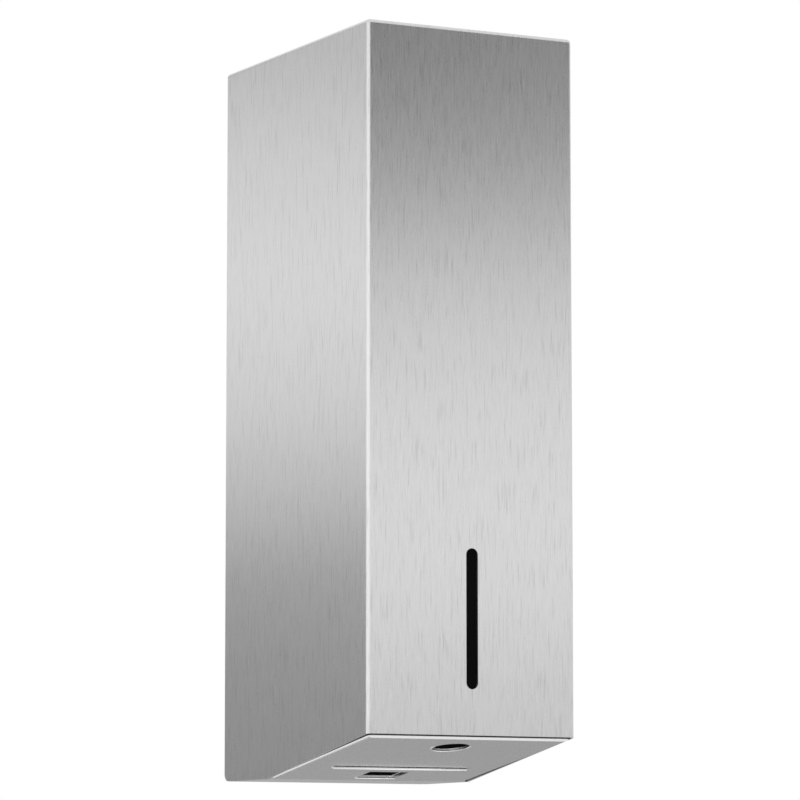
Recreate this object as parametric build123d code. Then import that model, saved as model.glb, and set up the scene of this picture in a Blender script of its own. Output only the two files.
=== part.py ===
from build123d import *
import os
from math import acos, atan2, cos, degrees, hypot, pi, radians, sin, tan

# Touchless sanitizer dispenser: a folded steel hood that swings forward on a wall-mounted chassis.
# Millimetres. The wall is the plane y = 0, the front faces -Y, +Z is up, and x = 0 is the middle.
# The origin is the centre of the four wall holes.

# Housing
width = 100.0             # hood, outside
depth = 142.0             # front face to wall
front_height = 304.5      # front face, rim to top
rear_drop = 16.5          # how far the sides reach below the front rim
flat_depth = 45.0         # level run of the underside at the wall
sheet = 1.0               # hood and pan thickness
hood_bend = 2.0           # outside radius of the hood's bends
hood_wall_gap = 1.0       # hood's rear edges to the wall
heel_radius = 3.5         # rounded lower rear corners of the hood's sides

# Sight slot in the front
slot_width = 5.6
slot_length = 60.0
slot_above_rim = 19.5
pane_thickness = 1.2
pane_margin = 4.0

# Bottom pan
pan_side_gap = 0.7        # seam between pan and hood
pan_below_rim = 1.6       # the pan's front edge hangs this far below the hood's rim
pan_bend = 2.0
pan_flange = 9.0
outlet_radius = 8.2
outlet_from_front = 19.8
tray_slot_length = 67.0
tray_slot_width = 1.8
tray_slot_from_front = 65.5
eye_width = 19.0          # rectangular opening for the sensor
eye_depth = 13.0
eye_from_front = 83.5
eye_rib_x = 5.6
eye_rib = 0.9
stud_radius = 1.5
nozzle_height = 8.5
barb_length = 4.0
stud_height = 7.0

# Back plate
plate = 1.5
plate_end_gap = 2.5
plate_lip = 9.0
wall_hole_radius = 2.75
wall_hole_x = 60.0        # spacing
wall_hole_z = 200.0       # spacing

# Hood hinge, at the bottom near the wall
pivot_from_wall = 14.0
pivot_above_heel = 6.5
pin_radius = 2.5
running_gap = 0.05        # radial gap of every turning fit
ear_thickness = 2.0
ear_gap = 0.5
strap_thickness = 2.0
strap_radius = 4.8
strap_length = 28.0

# Lock in the top
lock_radius = 8.0
lock_length = 13.5
lock_from_wall = 22.0
lock_flange = 2.0
lock_nut_height = 3.0
cam_thickness = 1.8
cam_reach = 17.0
cam_finger = 3.0
cam_finger_drop = 3.2
keeper_gap = 0.3

# Tank deck and rest
deck_z = -62.0            # top of the deck
deck_lip = 7.0

# Tank
tank_side_gap = 5.0       # tank to the hood's side
tank_rear = 46.0          # distances like this one are from the wall
tank_pane_gap = 1.8       # tank to the sight pane
tank_top = 100.0
tank_wall = 2.0
tank_corner = 7.0
sump_half = 20.0
sump_depth = 26.0
sump_bottom = -119.0
rim_height = 3.0
rim_width = 1.5
lid_thickness = 3.0
lid_skirt = 4.0
lid_fit = 0.25
neck_outer = 19.0
neck_inner = 16.0
neck_height = 7.0
neck_forward = 6.0        # neck ahead of the tank's middle
cap_outer = 23.0
cap_skirt_gap = 0.3
cap_fit = 0.5
cap_top = 3.0
seal_height = 1.5

# Pump
rotor_from_wall = 78.0
rotor_z = -104.0
tube_outer = 3.0
tube_inner = 1.6
roller_radius = 4.5
roller_orbit = 13.5
roller_half = 4.0
roller_pin = 1.5
tube_gap = 0.3            # unsqueezed tube to rollers and to its race
pump_left = -6.5
pump_wall_x = 5.5
pump_right = 9.5
pump_rear = 50.0
pump_sump_gap = 6.0
pump_bottom = -138.0
cover_thickness = 2.5
shaft_radius = 2.5
disc_thickness = 1.0
hub_radius = 5.5
post_radius = 4.0
post_inset = 4.0
screw_radius = 1.5
head_radius = 2.8
head_height = 2.2
screw_clearance = 0.1
outlet_bend = 9.0

# Gears and motor
gear_module = 0.8
gear_teeth = 50
pinion_teeth = 15
pressure_angle = 20.0
gear_backlash = 0.14
addendum = 0.9
dedendum = 1.25
gear_thickness = 3.0
gear_gap = 1.0
motor_radius = 12.0
motor_length = 23.0
motor_boss = 4.0
motor_shaft = 1.0
bracket_x = 16.5
bracket_thickness = 1.5
bracket_flange = 18.0

# Batteries
cell_radius = 7.2
cell_length = 50.5
cell_pitch = 15.0
cell_count = 4
box_wall = 1.5
box_above_tank = 14.0
contact_gap = 1.5
door_thickness = 2.0
door_travel = 25.0

# Control board
board_half = 35.0
board_bottom = -134.0
board_top = -76.0
board_thickness = 1.6
button_travel = 0.8
standoff_length = 9.0
standoff_radius = 3.0

# Leads
lead_radius = 1.3
lead_hole = 3.5
lead_x = 20.0
lead_y = -20.0

# Screws into the back plate
pan_screw_x = 20.0
deck_screw_x = 30.0
rest_z = 42.0             # middle of the tank rest
rest_face = 20.0
rest_foot = 12.0
rest_half = 20.0
box_screw_x = 15.0
box_flange = 10.0

# Places worked out from the sizes above
half = width / 2
tank_half = half - sheet - tank_side_gap
tank_front = depth - sheet - pane_thickness - tank_pane_gap
sump_rear = tank_front - sump_depth
deck_half = tank_half + plate
deck_front = sump_rear - 1.0
pump_front = sump_rear - pump_sump_gap
neck_from_wall = (tank_front + tank_rear) / 2 + neck_forward
box_bottom = tank_top + box_above_tank
inner_half = half - sheet
front_y = -depth
total_height = front_height + rear_drop
top_z = total_height / 2
heel_z = -total_height / 2
rim_z = top_z - front_height
fold_y = -flat_depth
pan_half = inner_half - pan_side_gap
pan_front_y = front_y + sheet + pan_side_gap
pan_front_z = rim_z - pan_below_rim
pan_rear_y = -plate - 0.5
pivot_y = -pivot_from_wall
pivot_z = heel_z + pivot_above_heel
outlet_y = front_y + outlet_from_front
eye_y = front_y + eye_from_front
tray_slot_y = front_y + tray_slot_from_front
lock_y = -lock_from_wall
rotor_y = -rotor_from_wall
track_radius = roller_orbit + roller_radius + tube_gap + tube_outer
race_radius = track_radius + tube_outer + tube_gap
gear_x = pump_right + gear_gap
centre_distance = gear_module * (gear_teeth + pinion_teeth) / 2
mesh_angle = radians(45)
motor_y = rotor_y + centre_distance * cos(mesh_angle)
motor_z = rotor_z + centre_distance * sin(mesh_angle)
bracket_right = bracket_x + bracket_thickness
pump_top = deck_z - plate
rest_screw_heights = (rest_z - (rest_face + rest_foot) / 2, rest_z + (rest_face + rest_foot) / 2)
bracket_screw_depths = (pump_front - 6, pump_rear + 4)
pan_screw_z = heel_z + 8
deck_screw_z = deck_z + 9
box_screw_z = box_bottom - box_flange / 2
far = 300.0               # long enough to cut right through


def block(x0, x1, y0, y1, z0, z1):
    centre = Pos((x0 + x1) / 2, (y0 + y1) / 2, (z0 + z1) / 2)
    return centre * Box(x1 - x0, y1 - y0, z1 - z0)


def rod_x(x0, x1, y, z, radius):
    return Pos((x0 + x1) / 2, y, z) * Rot(0, 90, 0) * Cylinder(radius, x1 - x0)


def rod_y(x, y0, y1, z, radius):
    return Pos(x, (y0 + y1) / 2, z) * Rot(90, 0, 0) * Cylinder(radius, y1 - y0)


def rod_z(x, y, z0, z1, radius):
    return Pos(x, y, (z0 + z1) / 2) * Cylinder(radius, z1 - z0)


def side_prism(outline, x0, x1):
    """A solid with a side outline of (y, z) points, from x0 to x1."""
    face = Plane.YZ * Polygon(*outline, align=None)
    return Pos(x0, 0, 0) * extrude(face, amount=x1 - x0, dir=(1, 0, 0))


def edges_near(shape, axis, **place):
    """The straight edges along an axis whose middle lies at the given x, y or z."""
    found = []
    for edge in shape.edges().filter_by(axis):
        middle = edge.center()
        where = {"x": middle.X, "y": middle.Y, "z": middle.Z}
        if all(abs(where[key] - value) < 0.01 for key, value in place.items()):
            found.append(edge)
    return found


def pan_bottom(y):
    """Height of the pan's underside at y."""
    if y >= fold_y:
        return heel_z
    slope = (heel_z - pan_front_z) / (fold_y - pan_front_y)
    return pan_front_z + slope * (y - pan_front_y)


def pan_top(y):
    return pan_bottom(y) + sheet


def above_pan(y0, y1, lift=0.0):
    """Everything above the pan's inner face between y0 and y1, for fitting parts to its slope."""
    outline = [(y0, pan_top(y0) + lift), (y1, pan_top(y1) + lift), (y1, far), (y0, far)]
    return side_prism(outline, -width, width)


# Hood

def bent_edges(shape, x, y, z):
    """The front uprights and the three top edges of a box, which the press brake bends."""
    uprights = edges_near(shape, Axis.Z, y=y)
    front_top = edges_near(shape, Axis.X, y=y, z=z)
    side_tops = edges_near(shape, Axis.Y, z=z, x=x) + edges_near(shape, Axis.Y, z=z, x=-x)
    return uprights + front_top + side_tops


def hood_shell():
    outline = [
        (front_y, rim_z),
        (front_y, top_z),
        (-hood_wall_gap, top_z),
        (-hood_wall_gap, heel_z),
        (fold_y, heel_z),
    ]
    outside = side_prism(outline, -half, half)
    outside = fillet(bent_edges(outside, half, front_y, top_z), hood_bend)
    outside = fillet(edges_near(outside, Axis.X, y=-hood_wall_gap, z=heel_z), heel_radius)
    inside = block(-inner_half, inner_half, front_y + sheet, far, -far, top_z - sheet)
    inner_bend = hood_bend - sheet
    inside = fillet(bent_edges(inside, inner_half, front_y + sheet, top_z - sheet), inner_bend)
    hood = outside - inside
    slot_z = rim_z + slot_above_rim + slot_length / 2
    slot = Plane.XZ * SlotOverall(slot_length, slot_width, rotation=90)
    hood -= Pos(0, front_y + 2 * sheet, slot_z) * extrude(slot, amount=4 * sheet, dir=(0, -1, 0))
    hood -= rod_z(0, lock_y, top_z - 2 * sheet, top_z + sheet, lock_radius)
    return hood


def hinge_strap(side):
    """A lug welded inside the hood's side, with the hinge's bore at its foot."""
    inner = inner_half - strap_thickness
    x0, x1 = sorted((side * inner, side * inner_half))
    lug = rod_x(x0, x1, pivot_y, pivot_z, strap_radius)
    top = pivot_z + strap_length
    lug += block(x0, x1, pivot_y - strap_radius, pivot_y + strap_radius, pivot_z, top - strap_radius)
    lug += rod_x(x0, x1, pivot_y, top - strap_radius, strap_radius)
    return lug - rod_x(x0, x1, pivot_y, pivot_z, pin_radius + running_gap)


def hinge_straps():
    return Compound(children=[hinge_strap(-1), hinge_strap(1)])


def sight_pane():
    """The smoked strip fixed behind the sight slot."""
    pane_y = front_y + sheet
    low = rim_z + slot_above_rim - pane_margin
    high = rim_z + slot_above_rim + slot_length + pane_margin
    reach = slot_width / 2 + pane_margin
    pane = block(-reach, reach, pane_y, pane_y + pane_thickness, low, high)
    return fillet(pane.edges().filter_by(Axis.Y), pane_margin / 2)


def lock_barrel():
    """The lock's housing: flush in the top, held by a flange and a nut from below."""
    wall = top_z - sheet
    barrel = rod_z(0, lock_y, top_z - lock_length, top_z, lock_radius)
    barrel += rod_z(0, lock_y, wall - lock_flange, wall, lock_radius + 2)
    core = lock_radius - 3
    return barrel - rod_z(0, lock_y, top_z - lock_length, top_z, core + running_gap)


def lock_nut():
    high = top_z - sheet - lock_flange
    hexagon = Pos(0, lock_y, high - lock_nut_height) * RegularPolygon(lock_radius + 3, 6)
    nut = extrude(hexagon, amount=lock_nut_height)
    return nut - rod_z(0, lock_y, high - lock_nut_height, high, lock_radius)


def lock_plug():
    """The keyed core, from the keyway in the top to the square that carries the cam."""
    core = lock_radius - 3
    foot = top_z - lock_length - 0.2
    plug = rod_z(0, lock_y, foot, top_z - 0.4, core)
    plug += rod_z(0, lock_y, foot - cam_thickness, foot, core - 2)
    keyway = block(-0.8, 0.8, lock_y - 2.8, lock_y + 2.8, top_z - 6, top_z)
    return plug - keyway


def cam_top():
    return top_z - lock_length - 0.2


def lock_cam():
    """The cam points along +X when unlocked. Its finger hooks behind the keeper when locked."""
    high = cam_top()
    low = high - cam_thickness
    boss = lock_radius - 1
    arm = rod_z(0, lock_y, low, high, boss)
    arm += block(0, cam_reach, lock_y - cam_finger, lock_y + cam_finger, low, high)
    start = cam_reach - cam_finger
    arm += block(start, cam_reach, lock_y - cam_finger, lock_y + cam_finger, low - cam_finger_drop, low)
    return arm - rod_z(0, lock_y, low, high, lock_radius - 5)


def cam_screw():
    low = cam_top() - cam_thickness
    screw = rod_z(0, lock_y, low - 1.6, low, 2.6)
    return screw


# Chassis

def bottom_pan():
    """A shallow folded tray that closes the housing from below."""
    high = pan_front_z + pan_flange
    outline = [(pan_front_y, pan_front_z), (fold_y, heel_z), (fold_y, high), (pan_front_y, high)]
    outer = side_prism(outline, -pan_half, pan_half)
    lower = [e for e in outer.edges() if e.center().Z < high - 1 and e.center().Y < fold_y - 1]
    lower = [e for e in lower if abs(e.tangent_at(0.5).Z) < 0.9]
    outer = fillet(lower, pan_bend)
    inner_outline = [
        (pan_front_y + sheet, pan_top(pan_front_y + sheet)),
        (fold_y, heel_z + sheet),
        (fold_y + sheet, heel_z + sheet),
        (fold_y + sheet, far),
        (pan_front_y + sheet, far),
    ]
    inner = side_prism(inner_outline, -pan_half + sheet, pan_half - sheet)
    slant = [e for e in inner.edges() if e.center().Z < 0 and e.center().Y < fold_y - 1]
    slant = [e for e in slant if abs(e.tangent_at(0.5).Z) < 0.9]
    inner = fillet(slant, pan_bend - sheet)
    tray = outer - inner
    flange_line = [
        (pan_front_y - sheet, pan_front_z + pan_flange),
        (fold_y - pan_flange, pan_bottom(fold_y - pan_flange) + pan_flange),
        (fold_y, pan_bottom(fold_y) + sheet),
        (fold_y, far),
        (pan_front_y - sheet, far),
    ]
    tray -= side_prism(flange_line, -width, width)
    tray += block(-pan_half, pan_half, fold_y, pan_rear_y, heel_z, heel_z + sheet)
    tray += block(-pan_half + 12, pan_half - 12, pan_rear_y - sheet, pan_rear_y, heel_z, heel_z + 14)
    tray += pan_studs()
    tray -= rod_z(0, outlet_y, -far, far, outlet_radius)
    tray -= tray_slot()
    eye_half = eye_width / 2
    eye_reach = eye_depth / 2
    tray -= block(-eye_half, eye_half, eye_y - eye_reach, eye_y + eye_reach, -far, 0)
    for x in (-pan_screw_x, pan_screw_x):
        tray -= rod_y(x, pan_rear_y - 2 * sheet, 0, pan_screw_z, screw_radius + screw_clearance)
    return tray


def tray_slot():
    """The slit that a drip tray's tongue goes into."""
    long_half = tray_slot_length / 2
    wide_half = tray_slot_width / 2
    return block(-long_half, long_half, tray_slot_y - wide_half, tray_slot_y + wide_half, -far, 0)


def stud_places():
    """Weld studs either side of the outlet and of the sensor."""
    places = []
    for side in (-1, 1):
        places.append((side * (outlet_radius + 8), outlet_y))
        places.append((side * (eye_width / 2 + 8), eye_y))
    return places


def pan_studs():
    studs = []
    for x, y in stud_places():
        foot = pan_bottom(y) + sheet / 2
        studs.append(rod_z(x, y, foot, pan_top(y) + stud_height, stud_radius))
    return studs


def back_plate():
    low = heel_z + sheet + 0.5
    high = top_z - plate_end_gap
    base = block(-pan_half, pan_half, -plate, 0, low, high)
    for x in (-pan_half, pan_half - plate):
        base += block(x, x + plate, -plate_lip, 0, pivot_z + strap_length + 6, high)
    base += hinge_ears(low)
    base += top_tabs(high)
    for x in (-wall_hole_x / 2, wall_hole_x / 2):
        for z in (-wall_hole_z / 2, wall_hole_z / 2):
            base -= rod_y(x, -far, far, z, wall_hole_radius)
    for x, z, _ in plate_screw_places():
        base -= rod_y(x, -2 * plate, 0, z, screw_radius)
    return base


def plate_screw_places():
    """The screws into the back plate: x, z and the thickness that each one clamps."""
    pan_stack = -plate - (pan_rear_y - sheet)
    pan = [(x, pan_screw_z, pan_stack) for x in (-pan_screw_x, pan_screw_x)]
    deck = [(x, deck_screw_z, plate) for x in (-deck_screw_x, deck_screw_x)]
    rest = [(0, z, plate) for z in rest_screw_heights]
    battery = [(x, box_screw_z, box_wall) for x in (-box_screw_x, box_screw_x)]
    return pan + deck + rest + battery


def ear_outer():
    return inner_half - strap_thickness - ear_gap


def hinge_ears(low):
    ears = []
    for side in (-1, 1):
        x0, x1 = sorted((side * ear_outer(), side * (ear_outer() - ear_thickness)))
        ear = block(x0, x1, pivot_y - 6, 0, low, pivot_z + 12)
        front = edges_near(ear, Axis.X, y=pivot_y - 6)
        ear = fillet(front, 3)
        ears.append(ear - rod_x(x0, x1, pivot_y, pivot_z, pin_radius))
    return ears


def top_tabs(high):
    """Two forward tabs under the hood's top, each with a rubber buffer on it."""
    tabs = []
    for side in (-1, 1):
        x0, x1 = sorted((side * 24, side * 42))
        tabs.append(block(x0, x1, -13, 0, high - plate, high))
    return tabs


def keeper():
    """The hooked tab that holds the lock's finger."""
    finger_low = cam_top() - cam_thickness - cam_finger_drop
    tab_top = finger_low - keeper_gap
    lip_front = lock_y + cam_reach - cam_finger - keeper_gap - 2 * plate
    lip_top = cam_top() - cam_thickness - keeper_gap
    tab = block(-8, 8, lip_front - plate, -plate, tab_top - plate, tab_top)
    lip = block(-8, 8, lip_front - plate, lip_front, tab_top - plate, lip_top)
    return tab + lip


def hinge_pin(side):
    """A shoulder rivet: set in the ear, its journal in the hood's strap."""
    ear_in = ear_outer() - ear_thickness
    x0, x1 = sorted((side * ear_in, side * (inner_half - 0.2)))
    pin = rod_x(x0, x1, pivot_y, pivot_z, pin_radius)
    h0, h1 = sorted((side * ear_in, side * (ear_in - 1.5)))
    return pin + rod_x(h0, h1, pivot_y, pivot_z, pin_radius + 1.5)


def hinge_pins():
    return Compound(children=[hinge_pin(-1), hinge_pin(1)])


def hood_buffers():
    high = top_z - plate_end_gap
    reach = top_z - sheet - high - keeper_gap
    pads = [rod_z(side * 33, -7, high, high + reach, 4) for side in (-1, 1)]
    return Compound(children=pads)


def screw_y(x, y, z, length):
    """A cheese-head screw along Y: its head ends at y, and its shank runs on towards the wall."""
    head = rod_y(x, y - head_height, y, z, head_radius)
    head -= rod_y(x, y - head_height, y - head_height / 2, z, head_radius / 2)
    return head + rod_y(x, y, y + length, z, screw_radius)


def plate_screws():
    """All the screws that go into the back plate: pan, deck, tank rest and battery box."""
    screws = []
    for x, z, stack in plate_screw_places():
        screws.append(screw_y(x, -plate - stack, z, stack + plate / 2))
    return Compound(children=screws)


def support_deck():
    """The shelf that carries the tank, with lips round the tank's foot and side gussets below."""
    low = deck_z - plate
    deck = block(-deck_half, deck_half, -deck_front, -plate, low, deck_z)
    for x in (-deck_half, deck_half - plate):
        deck += block(x, x + plate, -deck_front, -plate, low, deck_z + deck_lip)
        foot = (-2 * plate, low - 30)
        outline = [(-deck_front + 8, low), (-plate, low), (-plate, low - 30), foot]
        deck += side_prism(outline, x, x + plate)
    deck += block(-38, 38, -2 * plate, -plate, deck_z, deck_z + 16)
    lip_y = -tank_rear + 0.3
    deck += block(-20, 20, lip_y, lip_y + plate, deck_z, deck_z + deck_lip)
    for x in (-deck_screw_x, deck_screw_x):
        deck -= rod_y(x, -3 * plate, 0, deck_screw_z, screw_radius + screw_clearance)
    for back in bracket_screw_depths:
        deck -= rod_z(bracket_right + 9, -back, low, deck_z, screw_radius)
    deck -= rod_z(lead_x, lead_y, low, deck_z, lead_hole)
    return deck


def deck_grommet():
    """The rubber ring that the battery lead passes through."""
    low = deck_z - plate
    ring = rod_z(lead_x, lead_y, low, deck_z, lead_hole)
    ring += rod_z(lead_x, lead_y, low - 1.2, low, lead_hole + 1.5)
    ring += rod_z(lead_x, lead_y, deck_z, deck_z + 1.2, lead_hole + 1.5)
    return ring - rod_z(lead_x, lead_y, low - 2, deck_z + 2, lead_radius + 0.3)


def tank_rest():
    """A hat-shaped bracket on the back plate that the tank's rear wall leans on."""
    face = -tank_rear + 0.3
    low = rest_z - rest_face / 2
    high = rest_z + rest_face / 2
    rest = block(-rest_half, rest_half, face, face + plate, low, high)
    for z in (low, high - plate):
        rest += block(-rest_half, rest_half, face, -plate, z, z + plate)
    for z0, z1 in ((low - rest_foot, low + plate), (high - plate, high + rest_foot)):
        rest += block(-rest_half, rest_half, -2 * plate, -plate, z0, z1)
    for z in rest_screw_heights:
        rest -= rod_y(0, -3 * plate, 0, z, screw_radius + screw_clearance)
    return rest


# Tank

def tank_body(grow, z0, z1, sump_low):
    """The tank's form, drawn in by grow on every side: an upright tub with a sump in front."""
    main = block(-tank_half + grow, tank_half - grow, -tank_front + grow, -tank_rear - grow, z0, z1)
    main = fillet(main.edges().filter_by(Axis.Z), tank_corner - grow)
    sump = block(-sump_half + grow, sump_half - grow, -tank_front + grow, -sump_rear - grow, sump_low, z0 + 1)
    sump = fillet(edges_near(sump, Axis.Z, y=-sump_rear - grow), 3)
    return main + sump


def tank():
    outer = tank_body(0, deck_z, tank_top, sump_bottom)
    rim = block(
        -tank_half - rim_width, tank_half + rim_width, -tank_front - rim_width, -tank_rear + rim_width,
        tank_top - rim_height, tank_top,
    )
    outer += fillet(rim.edges().filter_by(Axis.Z), tank_corner + rim_width)
    inner = tank_body(tank_wall, deck_z + tank_wall, tank_top + 1, sump_bottom + tank_wall)
    tub = outer - inner
    return tub - rod_y(0, -sump_rear - 2 * tank_wall, -sump_rear, feed_z(), tube_inner)


def feed_z():
    return rotor_z + track_radius


def drain_z():
    return rotor_z - track_radius


def tank_lid():
    reach = tank_half + rim_width
    lid = block(-reach, reach, -tank_front - rim_width, -tank_rear + rim_width, tank_top, tank_top + lid_thickness)
    lid = fillet(lid.edges().filter_by(Axis.Z), tank_corner + rim_width)
    lid = fillet(lid.edges().group_by(Axis.Z)[-1], 1.0)
    grow = tank_wall + lid_fit
    skirt = block(
        -tank_half + grow, tank_half - grow, -tank_front + grow, -tank_rear - grow, tank_top - lid_skirt, tank_top
    )
    skirt = fillet(skirt.edges().filter_by(Axis.Z), tank_corner - grow)
    hollow = block(
        -tank_half + 2 * grow, tank_half - 2 * grow, -tank_front + 2 * grow, -tank_rear - 2 * grow,
        tank_top - lid_skirt, tank_top,
    )
    lid += skirt - fillet(hollow.edges().filter_by(Axis.Z), tank_corner - 2 * grow)
    high = tank_top + lid_thickness + neck_height
    lid += rod_z(0, -neck_from_wall, tank_top, high, neck_outer)
    return lid - rod_z(0, -neck_from_wall, 0, high, neck_inner)


def neck_top():
    return tank_top + lid_thickness + neck_height


def cap_seal():
    ring = rod_z(0, -neck_from_wall, neck_top(), neck_top() + seal_height, neck_outer)
    return ring - rod_z(0, -neck_from_wall, neck_top(), neck_top() + seal_height, neck_inner)


def filler_cap():
    """A quarter-turn cap with grip lobes round it."""
    high = neck_top() + seal_height + cap_top
    low = tank_top + lid_thickness + cap_skirt_gap
    cap = rod_z(0, -neck_from_wall, low, high, cap_outer - 1)
    lobes = 16
    for k in range(lobes):
        turn = Pos(0, -neck_from_wall, 0) * Rot(0, 0, k * 360 / lobes)
        cap += turn * rod_z(cap_outer - 2, 0, low, high - 1, 2)
    cap -= rod_z(0, -neck_from_wall, low, neck_top() + seal_height, neck_outer + cap_fit)
    return cap


def feed_nipple():
    """The barbed fitting in the sump's rear wall that the pump's tube is pushed onto."""
    wall = -sump_rear
    nipple = rod_y(0, wall - tank_wall - 2, wall + 7, feed_z(), tube_inner)
    nipple += rod_y(0, wall - tank_wall - 2, wall - tank_wall, feed_z(), tube_inner + 2)
    return nipple - rod_y(0, wall - far, wall + 7, feed_z(), tube_inner - 0.7)


# Pump

def post_places():
    """Centres (y, z) of the four posts that hold the pump off the drive bracket."""
    rows = (-pump_front + post_inset, -pump_rear - post_inset)
    return [(y, z) for y in rows for z in (pump_bottom + post_inset, pump_top - post_inset - 1.5)]


def pump_block():
    """The moulded pump body: a round race with a channel for each leg of the tube."""
    body = block(pump_left, pump_right, -pump_front, -pump_rear, pump_bottom, pump_top)
    body = fillet(body.edges().filter_by(Axis.X), 2.5)
    body -= rod_x(pump_left, pump_wall_x, rotor_y, rotor_z, race_radius)
    channel = tube_outer + tube_gap
    for z in (feed_z(), drain_z()):
        body -= block(pump_left, channel, -pump_front, rotor_y, z - channel, z + channel)
    body -= rod_x(pump_left, pump_right, rotor_y, rotor_z, shaft_radius + running_gap)
    for y, z in post_places():
        body += rod_x(pump_right, bracket_x, y, z, post_radius)
    for y, z in post_places():
        body -= rod_x(pump_left, bracket_x, y, z, screw_radius + screw_clearance)
    return body


def pump_cover():
    """The clear plate that closes the race and carries the rotor shaft's outer end."""
    x0 = pump_left - cover_thickness
    cover = block(x0, pump_left, -pump_front, -pump_rear, pump_bottom, pump_top)
    cover = fillet(cover.edges().filter_by(Axis.X), 2.5)
    cover -= rod_x(x0, pump_left, rotor_y, rotor_z, shaft_radius + running_gap)
    for y, z in post_places():
        cover -= rod_x(x0, pump_left, y, z, screw_radius + screw_clearance)
    return cover


def pump_screws():
    x0 = pump_left - cover_thickness
    screws = []
    for y, z in post_places():
        head = rod_x(x0 - head_height, x0, y, z, head_radius)
        screws.append(head + rod_x(x0, bracket_x, y, z, screw_radius))
    return Compound(children=screws)


def tube_route():
    """From the tank's nipple round the rotor and forward again, then down to the outlet."""
    start = Vector(0, -sump_rear + 0.3, feed_z())
    arc_top = Vector(0, rotor_y, feed_z())
    arc_rear = Vector(0, rotor_y + track_radius, rotor_z)
    arc_bottom = Vector(0, rotor_y, drain_z())
    bend_start = Vector(0, outlet_y + outlet_bend, drain_z())
    middle = outlet_bend * (1 - cos(radians(45)))
    bend_middle = Vector(0, outlet_y + middle, drain_z() - outlet_bend + outlet_bend * cos(radians(45)))
    bend_end = Vector(0, outlet_y, drain_z() - outlet_bend)
    end = Vector(0, outlet_y, nozzle_top())
    pieces = [
        Line(start, arc_top),
        ThreePointArc(arc_top, arc_rear, arc_bottom),
        Line(arc_bottom, bend_start),
        ThreePointArc(bend_start, bend_middle, bend_end),
        Line(bend_end, end),
    ]
    return Wire(pieces)


def nozzle_top():
    return pan_top(outlet_y) + nozzle_height


def pump_tube():
    """Soft tube, drawn unsqueezed: the rollers clear it by the gap named above."""
    route = tube_route()
    plane = Plane(origin=route @ 0, z_dir=route % 0)
    ring = plane * (Circle(tube_outer) - Circle(tube_inner))
    return sweep(ring, path=route)


def outlet_nozzle():
    """The black cup over the outlet hole, with a barb above and a short spout inside."""
    roof = nozzle_top()
    outer = outlet_radius + 2
    cup = rod_z(0, outlet_y, pan_bottom(outlet_y) - 3, roof, outer)
    for side in (-1, 1):
        x = side * (outlet_radius + 8)
        foot = Pos(x, outlet_y, 0) * rod_z(0, 0, pan_bottom(outlet_y) - 3, pan_top(outlet_y) + 3.5, 4.5)
        x0, x1 = sorted((0, x))
        foot += block(x0, x1, outlet_y - 4.5, outlet_y + 4.5, pan_bottom(outlet_y) - 3, pan_top(outlet_y) + 3.5)
        cup += foot
    cup -= rod_z(0, outlet_y, pan_bottom(outlet_y) - 4, roof - 2.5, outlet_radius)
    spout = Pos(0, outlet_y, roof - 2.5 - 1.5) * Cone(1.8, 2.8, 3)
    cup += spout
    cup += rod_z(0, outlet_y, roof, roof + barb_length, tube_inner)
    cup -= rod_z(0, outlet_y, roof - 20, roof + 8, tube_inner - 0.7)
    for side in (-1, 1):
        cup -= rod_z(side * (outlet_radius + 8), outlet_y, -far, 0, stud_radius + screw_clearance)
    return cup & above_pan(outlet_y - 20, outlet_y + 20, 0.05)


def stud_nut(x, y, seat):
    nut = extrude(Pos(x, y, seat) * RegularPolygon(3.1, 6), amount=2.4)
    return nut - rod_z(x, y, seat, seat + 2.4, stud_radius)


def stud_nuts():
    nuts = []
    for x, y in stud_places():
        lift = 3.5 if abs(y - outlet_y) < 1 else 2.5
        nuts.append(stud_nut(x, y, pan_top(y) + lift))
    return Compound(children=nuts)


# Rotor

def pump_shaft():
    x0 = pump_left - cover_thickness
    return rod_x(x0, gear_x + gear_thickness + 1, rotor_y, rotor_z, shaft_radius)


def disc_gap():
    return 0.2


def roller_places():
    places = []
    for k in range(3):
        angle = radians(90 + k * 120)
        places.append((rotor_y + roller_orbit * cos(angle), rotor_z + roller_orbit * sin(angle)))
    return places


def pump_rotor():
    """Two three-armed plates on one hub, with the rollers between them."""
    inner = roller_half + disc_gap()
    outer = inner + disc_thickness
    rotor = rod_x(-outer, outer, rotor_y, rotor_z, hub_radius)
    for x0 in (-outer, inner):
        for y, z in roller_places():
            rotor += rod_x(x0, x0 + disc_thickness, y, z, 3.2)
            turn = Pos(0, rotor_y, rotor_z) * Rot(degrees(atan2(z - rotor_z, y - rotor_y)), 0, 0)
            rotor += turn * block(x0, x0 + disc_thickness, 0, roller_orbit, -3.2, 3.2)
    rotor -= rod_x(-outer, outer, rotor_y, rotor_z, shaft_radius)
    for y, z in roller_places():
        rotor -= rod_x(-outer, outer, y, z, roller_pin)
    return rotor


def roller_pins():
    outer = roller_half + disc_gap() + disc_thickness
    return Compound(children=[rod_x(-outer, outer, y, z, roller_pin) for y, z in roller_places()])


def roller(number):
    y, z = roller_places()[number]
    body = rod_x(-roller_half, roller_half, y, z, roller_radius)
    return body - rod_x(-roller_half, roller_half, y, z, roller_pin + running_gap)


def involute(angle):
    return tan(angle) - angle


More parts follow.
